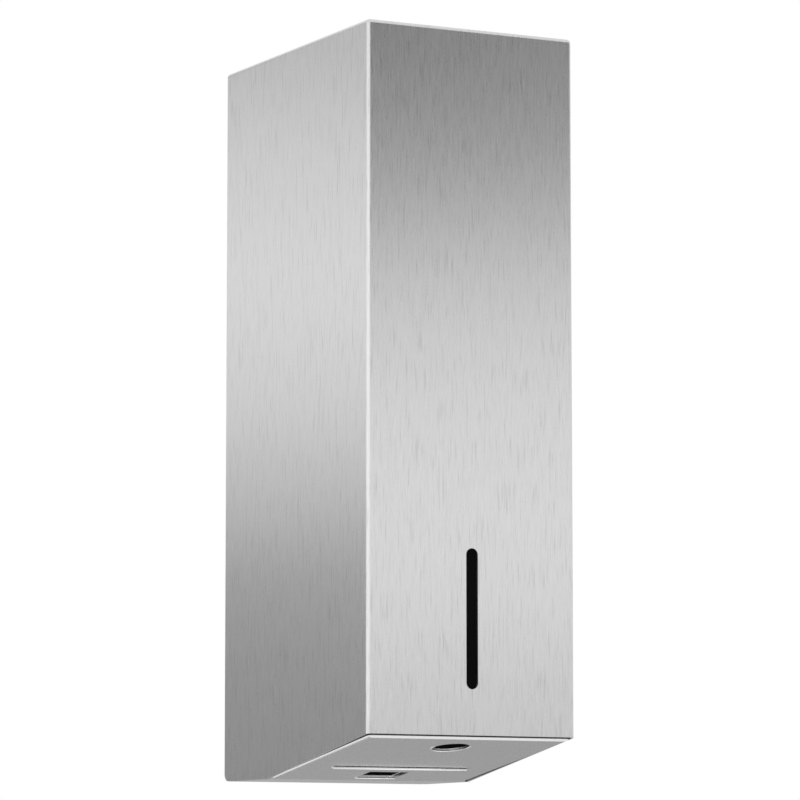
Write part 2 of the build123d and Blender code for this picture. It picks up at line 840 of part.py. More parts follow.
def gear_outline(teeth, first_angle):
    """Points (y, z) about the gear's own centre, with a tooth centred on first_angle."""
    pitch = gear_module * teeth / 2
    base = pitch * cos(radians(pressure_angle))
    tip = pitch + addendum * gear_module
    root = pitch - dedendum * gear_module
    flank = [max(base, root) + 0.02, pitch, (pitch + tip) / 2, tip]
    points = []
    for k in range(teeth):
        centre = first_angle + 2 * pi * k / teeth
        side = []
        for radius in flank:
            spread = pi / (2 * teeth) + involute(radians(pressure_angle)) - involute(acos(base / radius))
            side.append((radius, spread - gear_backlash / (2 * pitch)))
        side.insert(0, (root, side[0][1]))
        for radius, spread in side:
            points.append((radius * cos(centre - spread), radius * sin(centre - spread)))
        for radius, spread in reversed(side):
            points.append((radius * cos(centre + spread), radius * sin(centre + spread)))
    return points


def drive_gear():
    """The rotor's gear, with its web pierced by round holes."""
    face = Plane.YZ * Polygon(*gear_outline(gear_teeth, mesh_angle), align=None)
    gear = Pos(gear_x, rotor_y, rotor_z) * extrude(face, amount=gear_thickness, dir=(1, 0, 0))
    for k in range(5):
        angle = radians(18 + 72 * k)
        y = rotor_y + 11.5 * cos(angle)
        z = rotor_z + 11.5 * sin(angle)
        gear -= rod_x(gear_x, gear_x + gear_thickness, y, z, 4)
    return gear - rod_x(gear_x, gear_x + gear_thickness, rotor_y, rotor_z, shaft_radius)


def motor_pinion():
    facing = mesh_angle + pi + pi / pinion_teeth
    face = Plane.YZ * Polygon(*gear_outline(pinion_teeth, facing), align=None)
    pinion = Pos(gear_x, motor_y, motor_z) * extrude(face, amount=gear_thickness, dir=(1, 0, 0))
    return pinion - rod_x(gear_x, gear_x + gear_thickness, motor_y, motor_z, motor_shaft)


def motor_spindle():
    return rod_x(gear_x - 0.4, bracket_right + 3, motor_y, motor_z, motor_shaft)


# Drive

def motor_screw_places():
    across = mesh_angle + pi / 2
    reach = motor_radius - 3.5
    return [(motor_y + s * reach * cos(across), motor_z + s * reach * sin(across)) for s in (-1, 1)]


def drive_motor():
    """A can motor: front boss, steel can, end cap and two tags."""
    back = bracket_right + motor_length
    motor = rod_x(bracket_right, back - 3, motor_y, motor_z, motor_radius)
    motor += rod_x(back - 3, back - 1, motor_y, motor_z, motor_radius - 2)
    motor += rod_x(back - 1, back, motor_y, motor_z, 3.5)
    motor += rod_x(bracket_x, bracket_right, motor_y, motor_z, motor_boss - screw_clearance)
    motor -= rod_x(bracket_x, bracket_right + 4, motor_y, motor_z, motor_shaft + running_gap)
    for y, z in motor_screw_places():
        motor -= rod_x(bracket_right, bracket_right + 3, y, z, 1.0)
    return motor


def motor_tags():
    back = bracket_right + motor_length - 1
    tags = [block(back, back + 3, motor_y + s * 6 - 1.2, motor_y + s * 6 + 1.2, motor_z - 0.3, motor_z + 0.3)
            for s in (-1, 1)]
    return Compound(children=tags)


def motor_screws():
    screws = []
    for y, z in motor_screw_places():
        head = rod_x(bracket_x - 1.3, bracket_x, y, z, 1.9)
        screws.append(head + rod_x(bracket_x, bracket_right + 3, y, z, 1.0))
    return Compound(children=screws)


def drive_bracket():
    """A bent plate under the deck: the motor on one side, the pump on the other."""
    low = pump_bottom - 1
    face = block(bracket_x, bracket_right, -pump_front, -pump_rear + 4, low, pump_top)
    face = fillet(edges_near(face, Axis.X, z=low), 4)
    face += block(bracket_x, bracket_x + bracket_flange, -pump_front, -pump_rear + 4, pump_top - plate, pump_top)
    face -= rod_x(bracket_x, bracket_right, motor_y, motor_z, motor_boss)
    face -= rod_x(bracket_x, bracket_right, rotor_y - 6, rotor_z - 4, 9)
    for y, z in motor_screw_places():
        face -= rod_x(bracket_x, bracket_right, y, z, 1.0 + screw_clearance)
    for back in bracket_screw_depths:
        face -= rod_z(bracket_right + 9, -back, pump_top - plate, pump_top, screw_radius + screw_clearance)
    return face


def bracket_screws():
    seat = pump_top - plate
    screws = []
    for back in bracket_screw_depths:
        x = bracket_right + 9
        head = rod_z(x, -back, seat - head_height, seat, head_radius)
        screws.append(head + rod_z(x, -back, seat, deck_z - 0.2, screw_radius))
    return Compound(children=screws)


# Batteries

def box_half():
    return cell_count * cell_pitch / 2 + box_wall


def box_front():
    return -plate - cell_length - 2 * contact_gap - 2 * box_wall


def box_top():
    return box_bottom + box_wall + cell_pitch + 0.5


def battery_box():
    """An open-topped tray for the cells, with rails for its sliding door."""
    reach = box_half()
    tray = block(-reach - 2, reach + 2, box_front(), -plate, box_bottom, box_top() + door_thickness + 1.2)
    tray -= block(-reach + box_wall, reach - box_wall, box_front() + box_wall, -plate - box_wall, box_bottom + box_wall, far)
    slide_gap = 0.15
    tray -= block(-reach - slide_gap, reach + slide_gap, -far, -plate - box_wall, box_top() - slide_gap, box_top() + door_thickness + slide_gap)
    tray -= block(-reach + 1.5, reach - 1.5, -far, -plate - box_wall, box_top(), far)
    for k in range(1, cell_count):
        x = -reach + box_wall + k * cell_pitch
        rib_front = box_front() + box_wall + contact_gap
        tray += block(x - 0.3, x + 0.3, rib_front, rib_front + cell_length, box_bottom, box_bottom + 5)
    flange_half = box_screw_x + 6
    tray += block(-flange_half, flange_half, -plate - box_wall, -plate, box_bottom - box_flange, box_bottom)
    for x in (-box_screw_x, box_screw_x):
        tray -= rod_y(x, -3 * plate, 0, box_screw_z, screw_radius + screw_clearance)
    return tray


def battery_door():
    reach = box_half() - 0.15
    door = block(-reach, reach, box_front(), -plate - box_wall - 0.2, box_top(), box_top() + door_thickness)
    for k in range(4):
        y = box_front() + 4 + 2.4 * k
        door -= block(-9, 9, y, y + 1.2, box_top() + door_thickness - 0.6, far)
    return door


def cell_x(k):
    return (k - (cell_count - 1) / 2) * cell_pitch


def cell_z():
    return box_bottom + box_wall + cell_radius + 0.1


def battery_cells():
    """Dry cells laid head to tail, each with its raised pole."""
    y0 = box_front() + box_wall + contact_gap
    cells = []
    for k in range(cell_count):
        pole = y0 if k % 2 == 0 else y0 + cell_length - 1
        start = y0 + 1 if k % 2 == 0 else y0
        cell = rod_y(cell_x(k), start, start + cell_length - 1, cell_z(), cell_radius)
        cells.append(cell + rod_y(cell_x(k), pole, pole + 1, cell_z(), 2.7))
    return Compound(children=cells)


def battery_contacts():
    """Spring plates that bridge the cells in series, each against the tray's end wall."""
    front = box_front() + box_wall
    rear = -plate - box_wall
    strips = []
    for first, y in ((0, rear - 0.5), (2, rear - 0.5), (1, front)):
        x0 = cell_x(first) - 4
        x1 = cell_x(first + 1) + 4
        strips.append(block(x0, x1, y, y + 0.5, cell_z() - 4, cell_z() + 4))
    for k in (0, cell_count - 1):
        strips.append(block(cell_x(k) - 4, cell_x(k) + 4, front, front + 0.5, cell_z() - 4, cell_z() + 4))
    return Compound(children=strips)


# Electronics

def board_y():
    return -plate - standoff_length


def board_holes():
    return [(x, z) for x in (-board_half + 4, board_half - 4) for z in (board_bottom + 4, board_top - 4)]


def control_board():
    y = board_y()
    board = block(-board_half, board_half, y - board_thickness, y, board_bottom, board_top)
    board = fillet(board.edges().filter_by(Axis.Y), 2)
    for x, z in board_holes():
        board -= rod_y(x, y - board_thickness, y, z, screw_radius + screw_clearance)
    return board


def board_standoffs():
    posts = []
    for x, z in board_holes():
        post = rod_y(x, board_y(), -plate, z, standoff_radius)
        posts.append(post - rod_y(x, board_y(), board_y() + 5, z, screw_radius))
    return Compound(children=posts)


def board_screws():
    y = board_y() - board_thickness
    return Compound(children=[screw_y(x, y, z, board_thickness + 4) for x, z in board_holes()])


def board_chips():
    """What stands on the board: controller, driver, capacitor and the three lead sockets."""
    y = board_y() - board_thickness
    parts = [
        block(-14, -2, y - 1.8, y, -112, -100),
        block(2, 9, y - 1.6, y, -118, -110),
        rod_y(14, y - 11, y, -98, 5),
        rod_y(16, y - 11, y, -112, 4),
    ]
    for x0, x1, z0, z1 in lead_sockets():
        parts.append(block(x0, x1, y - 6, y, z0, z1))
    parts.append(block(-28, -18, y - 3, y, -100, -94))
    parts.append(block(-28, -20, y - 4, y, -119, -111))
    return Compound(children=parts)


def lead_sockets():
    """Battery socket at the top, motor socket at the right, sensor socket at the bottom."""
    return [(lead_x - 4, lead_x + 4, -84, -79), (24, 32, -106, -98), (-4, 4, -131, -126)]


def dose_slider():
    """The thumb slide that sets the dose, in its slot on the board's switch."""
    y = board_y() - board_thickness - 3
    return block(-27, -24.5, y - 3.2, y, -98.2, -95.8)


def power_button():
    y = board_y() - board_thickness - 4 - button_travel - 0.1
    return rod_y(-24, y - 2.5, y, -115, 2.2)


# Sensor

def sensor_roof():
    return pan_top(eye_y) + 9.0


def sensor_housing():
    """A black hood over the sensor opening, held by two studs."""
    reach = eye_width / 2
    run = eye_depth / 2
    roof = sensor_roof()
    low = heel_z - 2
    body = block(-reach - 2, reach + 2, eye_y - run - 2, eye_y + run + 2, low, roof + 2)
    body = fillet(body.edges().filter_by(Axis.Z), 1.5)
    for side in (-1, 1):
        x = side * (reach + 8)
        x0, x1 = sorted((side * reach, x))
        body += block(x0, x1, eye_y - 4, eye_y + 4, low, pan_top(eye_y) + 2.5)
        body += rod_z(x, eye_y, low, pan_top(eye_y) + 2.5, 4)
    body -= block(-reach, reach, eye_y - run, eye_y + run, low - 1, roof)
    for side in (-1, 1):
        body -= rod_z(side * (reach + 8), eye_y, -far, 0, stud_radius + screw_clearance)
    return body & above_pan(eye_y - run - 4, eye_y + run + 4, 0.05)


def sensor_divider():
    """The thin light barrier that shows as a bright rib across the opening."""
    run = eye_depth / 2
    outline = [
        (eye_y - run, pan_bottom(eye_y - run) + 0.1),
        (eye_y + run, pan_bottom(eye_y + run) + 0.1),
        (eye_y + run, sensor_roof()),
        (eye_y - run, sensor_roof()),
    ]
    return side_prism(outline, eye_rib_x - eye_rib / 2, eye_rib_x + eye_rib / 2)


def sensor_lenses():
    """The infrared sender and receiver, domed, in the wider bay."""
    roof = sensor_roof()
    lenses = []
    for x in (-6, 0):
        lenses.append(rod_z(x, eye_y, roof - 1.5, roof, 2.5) + rod_z(x, eye_y, roof - 3, roof - 1.5, 2.0))
    return Compound(children=lenses)


def status_light():
    """The light guide in the narrow bay."""
    roof = sensor_roof()
    x0 = eye_rib_x + eye_rib / 2 + 0.4
    return block(x0, eye_width / 2 - 0.4, eye_y - 3, eye_y + 3, roof - 3, roof)


# Leads

def route_radii(points):
    """Each bend as large as its two runs allow."""
    radii = []
    for before, here, after in zip(points, points[1:], points[2:]):
        a = Vector(*here) - Vector(*before)
        b = Vector(*after) - Vector(*here)
        turn = radians(a.get_angle(b))
        radii.append(0.45 * min(a.length, b.length) / tan(turn / 2))
    return radii


def lead(points):
    route = FilletPolyline(*points, radius=route_radii(points))
    section = Plane(origin=route @ 0, z_dir=route % 0) * Circle(lead_radius)
    return sweep(section, path=route)


def socket_y():
    return board_y() - board_thickness - 3


def battery_lead():
    """From under the battery box, down behind the tank and through the deck, to the board."""
    return lead([
        (lead_x + 3, -30, box_bottom),
        (lead_x + 3, -30, box_bottom - 26),
        (lead_x + 5, -22, 50),
        (lead_x + 6, -26, 6),
        (lead_x, lead_y, -34),
        (lead_x, lead_y, -67),
        (lead_x, socket_y(), -73),
        (lead_x, socket_y(), -79),
    ])


def motor_lead():
    """From the motor's tags, round under it and back to the board's right-hand socket."""
    tag_x = bracket_right + motor_length + 0.5
    tag_y = motor_y + 6
    return lead([
        (tag_x, tag_y, motor_z - 0.3),
        (tag_x, tag_y, motor_z - 11),
        (tag_x, -42, -104),
        (tag_x, -27, -105),
        (38, socket_y(), -102),
        (32, socket_y(), -102),
    ])


def sensor_lead():
    """From the back of the sensor's hood up to the board's lower socket."""
    rear = eye_y + eye_depth / 2 + 2
    return lead([
        (-4, rear, -151),
        (-4, rear + 8, -151),
        (-2, -30, -149),
        (0, -19, -143),
        (0, socket_y(), -138),
        (0, socket_y(), -131),
    ])


nodes = {
    "hood_shell": hood_shell,
    "hinge_straps": hinge_straps,
    "sight_pane": sight_pane,
    "lock_barrel": lock_barrel,
    "lock_nut": lock_nut,
    "lock_plug": lock_plug,
    "lock_cam": lock_cam,
    "cam_screw": cam_screw,
    "back_plate": back_plate,
    "hinge_pins": hinge_pins,
    "hood_buffers": hood_buffers,
    "lock_keeper": keeper,
    "bottom_pan": bottom_pan,
    "plate_screws": plate_screws,
    "support_deck": support_deck,
    "deck_grommet": deck_grommet,
    "tank_rest": tank_rest,
    "tank": tank,
    "tank_lid": tank_lid,
    "cap_seal": cap_seal,
    "filler_cap": filler_cap,
    "feed_nipple": feed_nipple,
    "pump_block": pump_block,
    "pump_cover": pump_cover,
    "pump_screws": pump_screws,
    "pump_tube": pump_tube,
    "outlet_nozzle": outlet_nozzle,
    "stud_nuts": stud_nuts,
    "pump_shaft": pump_shaft,
    "pump_rotor": pump_rotor,
    "roller_pins": roller_pins,
    "roller_a": lambda: roller(0),
    "roller_b": lambda: roller(1),
    "roller_c": lambda: roller(2),
    "drive_gear": drive_gear,
    "motor_pinion": motor_pinion,
    "motor_spindle": motor_spindle,
    "drive_motor": drive_motor,
    "motor_tags": motor_tags,
    "motor_screws": motor_screws,
    "drive_bracket": drive_bracket,
    "bracket_screws": bracket_screws,
    "battery_box": battery_box,
    "battery_door": battery_door,
    "battery_cells": battery_cells,
    "battery_contacts": battery_contacts,
    "control_board": control_board,
    "board_standoffs": board_standoffs,
    "board_screws": board_screws,
    "board_chips": board_chips,
    "dose_slider": dose_slider,
    "power_button": power_button,
    "sensor_housing": sensor_housing,
    "sensor_divider": sensor_divider,
    "sensor_lenses": sensor_lenses,
    "status_light": status_light,
    "battery_lead": battery_lead,
    "motor_lead": motor_lead,
    "sensor_lead": sensor_lead,
}

os.makedirs("parts", exist_ok=True)
for name, make in nodes.items():
    export_step(make(), "parts/" + name + ".step")
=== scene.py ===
# %% [markdown]
# A touchless sanitizer dispenser in brushed steel, with its tank, pump and electronics inside.
# The construction model is the frame: its pieces already stand in their places. This script gives
# them their finishes and adds the thin trim that a construction model leaves out.
# The wall is the plane y = 0, the front faces -Y and +Z is up. The scene is in metres, and the trim
# is written in millimetres, as a maker would measure it.

# %% The frame
import math

import bmesh
import bpy
from mathutils import Matrix, Vector


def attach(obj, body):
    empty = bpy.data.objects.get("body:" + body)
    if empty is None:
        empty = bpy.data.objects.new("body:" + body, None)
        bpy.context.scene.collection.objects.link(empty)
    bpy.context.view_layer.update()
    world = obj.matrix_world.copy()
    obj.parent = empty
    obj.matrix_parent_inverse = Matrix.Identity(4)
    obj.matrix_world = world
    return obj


MM = 0.001

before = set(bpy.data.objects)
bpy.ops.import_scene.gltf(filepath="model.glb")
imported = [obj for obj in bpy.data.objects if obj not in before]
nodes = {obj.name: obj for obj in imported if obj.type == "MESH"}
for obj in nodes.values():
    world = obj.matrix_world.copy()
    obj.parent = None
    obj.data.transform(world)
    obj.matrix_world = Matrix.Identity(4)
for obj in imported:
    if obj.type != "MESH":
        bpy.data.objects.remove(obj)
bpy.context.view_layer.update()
scene = bpy.context.scene
scene.view_settings.view_transform = "Standard"

# %% [markdown]
# The photograph was taken from low down on the left and from a long way off, so the housing's sides
# stay almost parallel and a little of the underside shows. A camera can be turned by eye until it
# looks right, but its edges then never quite agree. Here its place, its axes and its lens were
# fitted to the corners of the housing, and they are set as one matrix.

# %% Camera
CAMERA_PLACE = Vector((-0.8708, -1.7644, -0.2163))
CAMERA_RIGHT = Vector((0.88886, -0.45818, 0.0))
CAMERA_UP = Vector((-0.05323, -0.10327, 0.99323))
CAMERA_LENS = 195.14
SENSOR_WIDTH = 36.0
VIEW_REACH = 50.0


def add_object(name, data):
    made = bpy.data.objects.new(name, data)
    scene.collection.objects.link(made)
    return made


def make_camera():
    data = bpy.data.cameras.new("camera")
    data.lens = CAMERA_LENS
    data.sensor_width = SENSOR_WIDTH
    data.clip_end = VIEW_REACH
    camera = add_object("camera", data)
    back = CAMERA_RIGHT.cross(CAMERA_UP)
    turn = Matrix((CAMERA_RIGHT, CAMERA_UP, back)).transposed()
    camera.matrix_world = Matrix.Translation(CAMERA_PLACE) @ turn.to_4x4()
    scene.camera = camera
    return camera


print("camera", make_camera().name, "lens", CAMERA_LENS)

# %% [markdown]
# A finish is a tree of shader nodes. It could be drawn by hand in the editor, but the same few steps
# come back in every finish, so small helpers take them up: one starts a material, one adds a node,
# one makes a reusable group with named sockets, and one places that group in a material.

# %% Node helpers
FLOAT = "NodeSocketFloat"


def new_material(name):
    material = bpy.data.materials.new(name)
    material.use_nodes = True
    tree = material.node_tree
    return material, tree, tree.nodes["Principled BSDF"]


def node(tree, kind, **values):
    made = tree.nodes.new(kind)
    for key, value in values.items():
        setattr(made, key, value)
    return made


def new_group(name, inputs, outputs):
    """A shader node group: inputs gives each socket its default value, outputs names the masks."""
    group = bpy.data.node_groups.new(name, "ShaderNodeTree")
    for label, value in inputs.items():
        socket = group.interface.new_socket(name=label, in_out="INPUT", socket_type=FLOAT)
        socket.default_value = value
    for label in outputs:
        group.interface.new_socket(name=label, in_out="OUTPUT", socket_type=FLOAT)
    return group, group.nodes.new("NodeGroupInput"), group.nodes.new("NodeGroupOutput")


def use_group(tree, group, **values):
    """Place a group in a tree. A socket's name is written with _ where it has a space."""
    placed = node(tree, "ShaderNodeGroup", node_tree=group)
    for label, value in values.items():
        placed.inputs[label.replace("_", " ")].default_value = value
    return placed


print("node helpers ready")

# %% [markdown]
# Brushed steel is ground with a belt, which leaves thousands of fine parallel scratches. A picture of
# scratches would repeat and turn soft close up, so a noise that is stretched along one axis makes
# them. The group puts out two masks: the long hairlines, and the short dashes where the belt bit
# deeper.

# %% Group: brushed grain
GRAIN_ROUGHNESS = 0.65
HAIRLINE_SCALE, HAIRLINE_DETAIL = 1.0, 3.0
DASH_SCALE, DASH_DETAIL = 0.3, 1.0
DASH_FULL = 0.72


def stretched_noise(group, vector, scale, detail):
    noise = node(group, "ShaderNodeTexNoise")
    noise.inputs["Scale"].default_value = scale
    noise.inputs["Detail"].default_value = detail
    noise.inputs["Roughness"].default_value = GRAIN_ROUGHNESS
    group.links.new(vector, noise.inputs["Vector"])
    return noise.outputs[0]


def make_grain():
    """A high Fine value packs the noise tight along that axis, and a low one draws it out."""
    inputs = {"Fine X": 3200.0, "Fine Y": 3200.0, "Fine Z": 60.0, "Dash length": 1.0,
              "Dash from": 0.55}
    group, start, end = new_group("brushed_grain", inputs, ["Streak", "Dash"])
    links = group.links
    place = node(group, "ShaderNodeTexCoord")
    spread = node(group, "ShaderNodeCombineXYZ")
    for axis in "XYZ":
        links.new(start.outputs["Fine " + axis], spread.inputs[axis])
    stretched = node(group, "ShaderNodeVectorMath", operation="MULTIPLY")
    links.new(place.outputs["Object"], stretched.inputs[0])
    links.new(spread.outputs[0], stretched.inputs[1])
    streaks = stretched_noise(group, stretched.outputs[0], HAIRLINE_SCALE, HAIRLINE_DETAIL)
    links.new(streaks, end.inputs["Streak"])
    scaled = node(group, "ShaderNodeVectorMath", operation="SCALE")
    links.new(stretched.outputs[0], scaled.inputs[0])
    links.new(start.outputs["Dash length"], scaled.inputs["Scale"])
    dashes = node(group, "ShaderNodeMapRange")
    dashes.inputs["From Max"].default_value = DASH_FULL
    links.new(stretched_noise(group, scaled.outputs[0], DASH_SCALE, DASH_DETAIL),
              dashes.inputs["Value"])
    links.new(start.outputs["Dash from"], dashes.inputs["From Min"])
    links.new(dashes.outputs["Result"], end.inputs["Dash"])
    return group


GRAIN = make_grain()
print("group", GRAIN.name)

# %% [markdown]
# Moulded plastic, rubber and turned metal are never quite smooth: a fine even grain breaks the gloss,
# and larger soft patches vary the colour a little. Each finish could have its own noises, but one
# group serves them all, and each places it with its own two sizes.

# %% Group: moulded skin
SKIN_DETAIL = {"Grain": 2.0, "Patch": 3.0}


def make_skin():
    group, start, end = new_group("moulded_skin", {"Grain": 1800.0, "Patch": 30.0}, SKIN_DETAIL)
    place = node(group, "ShaderNodeTexCoord")
    for label, detail in SKIN_DETAIL.items():
        noise = node(group, "ShaderNodeTexNoise")
        noise.inputs["Detail"].default_value = detail
        group.links.new(place.outputs["Object"], noise.inputs["Vector"])
        group.links.new(start.outputs[label], noise.inputs["Scale"])
        group.links.new(noise.outputs[0], end.inputs[label])
    return group


SKIN = make_skin()
print("group", SKIN.name)

# %% [markdown]
# Most of a noise lies close to a half, so used as it is it would give nearly one flat tone. It is
# spread first, from the span where its values lie to the span that the finish needs, and then it
# sets a roughness, a shade between a dark and a light tone, or the height of a bump.

# %% Ranges, shades and bumps
NOISE_LOW, NOISE_HIGH = 0.3, 0.7


def to_range(tree, value, low, high):
    ranged = node(tree, "ShaderNodeMapRange")
    ranged.inputs["From Min"].default_value = NOISE_LOW
    ranged.inputs["From Max"].default_value = NOISE_HIGH
    ranged.inputs["To Min"].default_value = low
    ranged.inputs["To Max"].default_value = high
    tree.links.new(value, ranged.inputs["Value"])
    return ranged.outputs["Result"]


def shade(tree, value, dark, light):
    mix = node(tree, "ShaderNodeMix", data_type="RGBA")
    mix.inputs["A"].default_value = (*dark, 1.0)
    mix.inputs["B"].default_value = (*light, 1.0)
    tree.links.new(to_range(tree, value, 0.0, 1.0), mix.inputs["Factor"])
    return mix.outputs["Result"]


def bump(tree, shader, height, distance):
    made = node(tree, "ShaderNodeBump")
    made.inputs["Distance"].default_value = distance
    made.inputs["Strength"].default_value = 1.0
    tree.links.new(height, made.inputs["Height"])
    tree.links.new(made.outputs["Normal"], shader.inputs["Normal"])


print("noise from", NOISE_LOW, "to", NOISE_HIGH, "fills each range")

# %% [markdown]
# The hood and the pan are brushed stainless steel. The scratches smear a reflection out across
# themselves, and that smear is what the eye takes for brushing. Real grooves would be far too many
# to model, so the shader is anisotropic. Its tangent follows the brushing, which runs up the hood
# and from the wall to the front on the pan, and a quarter turn sets the smear across it.

# %% Brushed steel
BRUSHED_ROUGHNESS = (0.26, 0.32)
SMEAR = 0.72
QUARTER_TURN = 0.25


def brushing_direction(tree, along):
    """The brushing runs along the piece's own axes, and a tangent is wanted in the scene's axes."""
    lay = node(tree, "ShaderNodeCombineXYZ")
    for axis, value in zip("XYZ", along):
        lay.inputs[axis].default_value = value
    turned = node(tree, "ShaderNodeVectorTransform", vector_type="VECTOR", convert_from="OBJECT",
                  convert_to="WORLD")
    tree.links.new(lay.outputs[0], turned.inputs[0])
    return turned.outputs[0]


def brushed_steel(name, dark, light, grain, dash_length, dash_from, dash_tint, along, depth):
    material, tree, shader = new_material(name)
    placed = use_group(tree, GRAIN, Fine_X=grain[0], Fine_Y=grain[1], Fine_Z=grain[2],
                       Dash_length=dash_length, Dash_from=dash_from)
    worn = node(tree, "ShaderNodeMix", data_type="RGBA", blend_type="MULTIPLY")
    worn.inputs["B"].default_value = (*dash_tint, 1.0)
    tree.links.new(shade(tree, placed.outputs["Streak"], dark, light), worn.inputs["A"])
    tree.links.new(placed.outputs["Dash"], worn.inputs["Factor"])
    tree.links.new(worn.outputs["Result"], shader.inputs["Base Color"])
    tree.links.new(to_range(tree, placed.outputs["Streak"], *BRUSHED_ROUGHNESS),
                   shader.inputs["Roughness"])
    shader.inputs["Metallic"].default_value = 1.0
    shader.inputs["Anisotropic"].default_value = SMEAR
    shader.inputs["Anisotropic Rotation"].default_value = QUARTER_TURN
    tree.links.new(brushing_direction(tree, along), shader.inputs["Tangent"])
    bump(tree, shader, placed.outputs["Streak"], depth)
    return material


HOOD_STEEL = brushed_steel(
    "hood_steel", (0.62, 0.62, 0.62), (0.70, 0.70, 0.70), grain=(2300, 2300, 135),
    dash_length=1.5, dash_from=0.55, dash_tint=(0.86, 0.86, 0.865), along=(0.0, 0.0, 1.0),
    depth=0.000010)
PAN_STEEL = brushed_steel(
    "pan_steel", (0.61, 0.61, 0.61), (0.65, 0.65, 0.65), grain=(1600, 40, 1600),
    dash_length=1.0, dash_from=0.66, dash_tint=(0.95, 0.95, 0.95), along=(0.0, 1.0, 0.0),
    depth=0.000002)
print("steels", HOOD_STEEL.name, PAN_STEEL.name)

# %% [markdown]
# The chassis inside is plain zinc-plated sheet, duller than the steel outside. Zinc sets in a faint
# crystal pattern, the spangle. A noise would blur it, but Voronoi cells have its flat patches with
# sharp borders. Screws, pins and the brass pinion are turned, so they take the fine grain instead.

# %% Zinc sheet and bright fasteners
SPANGLE_SCALE = 240.0
TURNING_GRAIN, TURNING_PATCH = 2600.0, 220.0
TURNING_DEPTH = 0.000008
TURNED_ROUGHNESS = (0.16, 0.3)


def zinc_sheet(name, dark, light, rough):
    material, tree, shader = new_material(name)
    place = node(tree, "ShaderNodeTexCoord")
    spangle = node(tree, "ShaderNodeTexVoronoi")
    spangle.inputs["Scale"].default_value = SPANGLE_SCALE
    tree.links.new(place.outputs["Object"], spangle.inputs["Vector"])
    cells = spangle.outputs["Color"]
    tree.links.new(shade(tree, cells, dark, light), shader.inputs["Base Color"])
    tree.links.new(to_range(tree, cells, *rough), shader.inputs["Roughness"])
    shader.inputs["Metallic"].default_value = 1.0
    return material


def turned_metal(name, dark, light, rough=TURNED_ROUGHNESS):
    material, tree, shader = new_material(name)
    placed = use_group(tree, SKIN, Grain=TURNING_GRAIN, Patch=TURNING_PATCH)
    tree.links.new(shade(tree, placed.outputs["Patch"], dark, light), shader.inputs["Base Color"])
    tree.links.new(to_range(tree, placed.outputs["Grain"], *rough), shader.inputs["Roughness"])
    shader.inputs["Metallic"].default_value = 1.0
    bump(tree, shader, placed.outputs["Grain"], TURNING_DEPTH)
    return material


CHASSIS_STEEL = zinc_sheet("chassis_steel", (0.57, 0.58, 0.59), (0.64, 0.65, 0.66), (0.36, 0.44))
FASTENER_STEEL = turned_metal("fastener_steel", (0.58, 0.58, 0.60), (0.70, 0.70, 0.71))
LOCK_CHROME = turned_metal("lock_chrome", (0.66, 0.66, 0.67), (0.76, 0.76, 0.77), (0.08, 0.16))
BRASS = turned_metal("brass", (0.62, 0.44, 0.17), (0.78, 0.58, 0.28), (0.18, 0.3))
CONTACT_METAL = turned_metal("contact_metal", (0.60, 0.58, 0.54), (0.72, 0.70, 0.66))
print("metals", CHASSIS_STEEL.name, FASTENER_STEEL.name, LOCK_CHROME.name, BRASS.name,
      CONTACT_METAL.name)

# %% [markdown]
# Plastics and rubbers could each have a tree of their own, but they differ less than they seem to.
# One recipe gives a base shade with soft patches, a grain in the roughness and a slight bump. What
# tells them apart is their tone, their gloss, and how much light comes through.
# The blacks come first: the pump block, the nozzle and the sensor housing that sit behind the
# openings, the battery box and the rubber. The nozzle and the housing take a darker black, which is
# partly their black plastic and partly painted shade of the recesses they sit in.

# %% Plastics and rubbers
PLASTIC_PATCH = 26.0
MILK_REACH = 0.004


def plastic(name, dark, light, rough, grain=1800.0, depth=0.00002, through=0.0, milky=0.0,
            coat=0.0, sheen=0.5):
    """through is clear light, milky is scattered light, coat is lacquer, sheen is the gloss."""
    material, tree, shader = new_material(name)
    placed = use_group(tree, SKIN, Grain=grain, Patch=PLASTIC_PATCH)
    tree.links.new(shade(tree, placed.outputs["Patch"], dark, light), shader.inputs["Base Color"])
    tree.links.new(to_range(tree, placed.outputs["Grain"], *rough), shader.inputs["Roughness"])
    bump(tree, shader, placed.outputs["Grain"], depth)
    shader.inputs["Transmission Weight"].default_value = through
    shader.inputs["Subsurface Weight"].default_value = milky
    shader.inputs["Subsurface Scale"].default_value = MILK_REACH
    shader.inputs["Coat Weight"].default_value = coat
    shader.inputs["Specular IOR Level"].default_value = sheen
    return material


BLACK_MOULDED = plastic("black_moulded", (0.008, 0.008, 0.009), (0.015, 0.015, 0.017),
                        (0.46, 0.6), sheen=0.25)
# A darker copy of the black plastic: its extra darkness is painted shade of the recesses behind the
# openings.
BLACK_AND_RECESS_SHADE = plastic("black_and_recess_shade", (0.0015, 0.0015, 0.0015), (0.003, 0.003, 0.003), (0.5, 0.65),
                     sheen=0.08)
BATTERY_PLASTIC = plastic("battery_plastic", (0.03, 0.03, 0.032), (0.045, 0.045, 0.048),
                          (0.4, 0.55))
RUBBER = plastic("black_rubber", (0.012, 0.012, 0.012), (0.022, 0.022, 0.022), (0.62, 0.78),
                 grain=1200.0)
print("blacks", BLACK_MOULDED.name, BLACK_AND_RECESS_SHADE.name, BATTERY_PLASTIC.name, RUBBER.name)

# %% [markdown]
# The tank is milky polyethylene, so that the level inside shows as a shadow. Light partly goes
# straight through it and is partly scattered, and only both together look like a thin white wall.
# The pump's tube is made the same way, and the gears are a denser white that hardly lets light in.

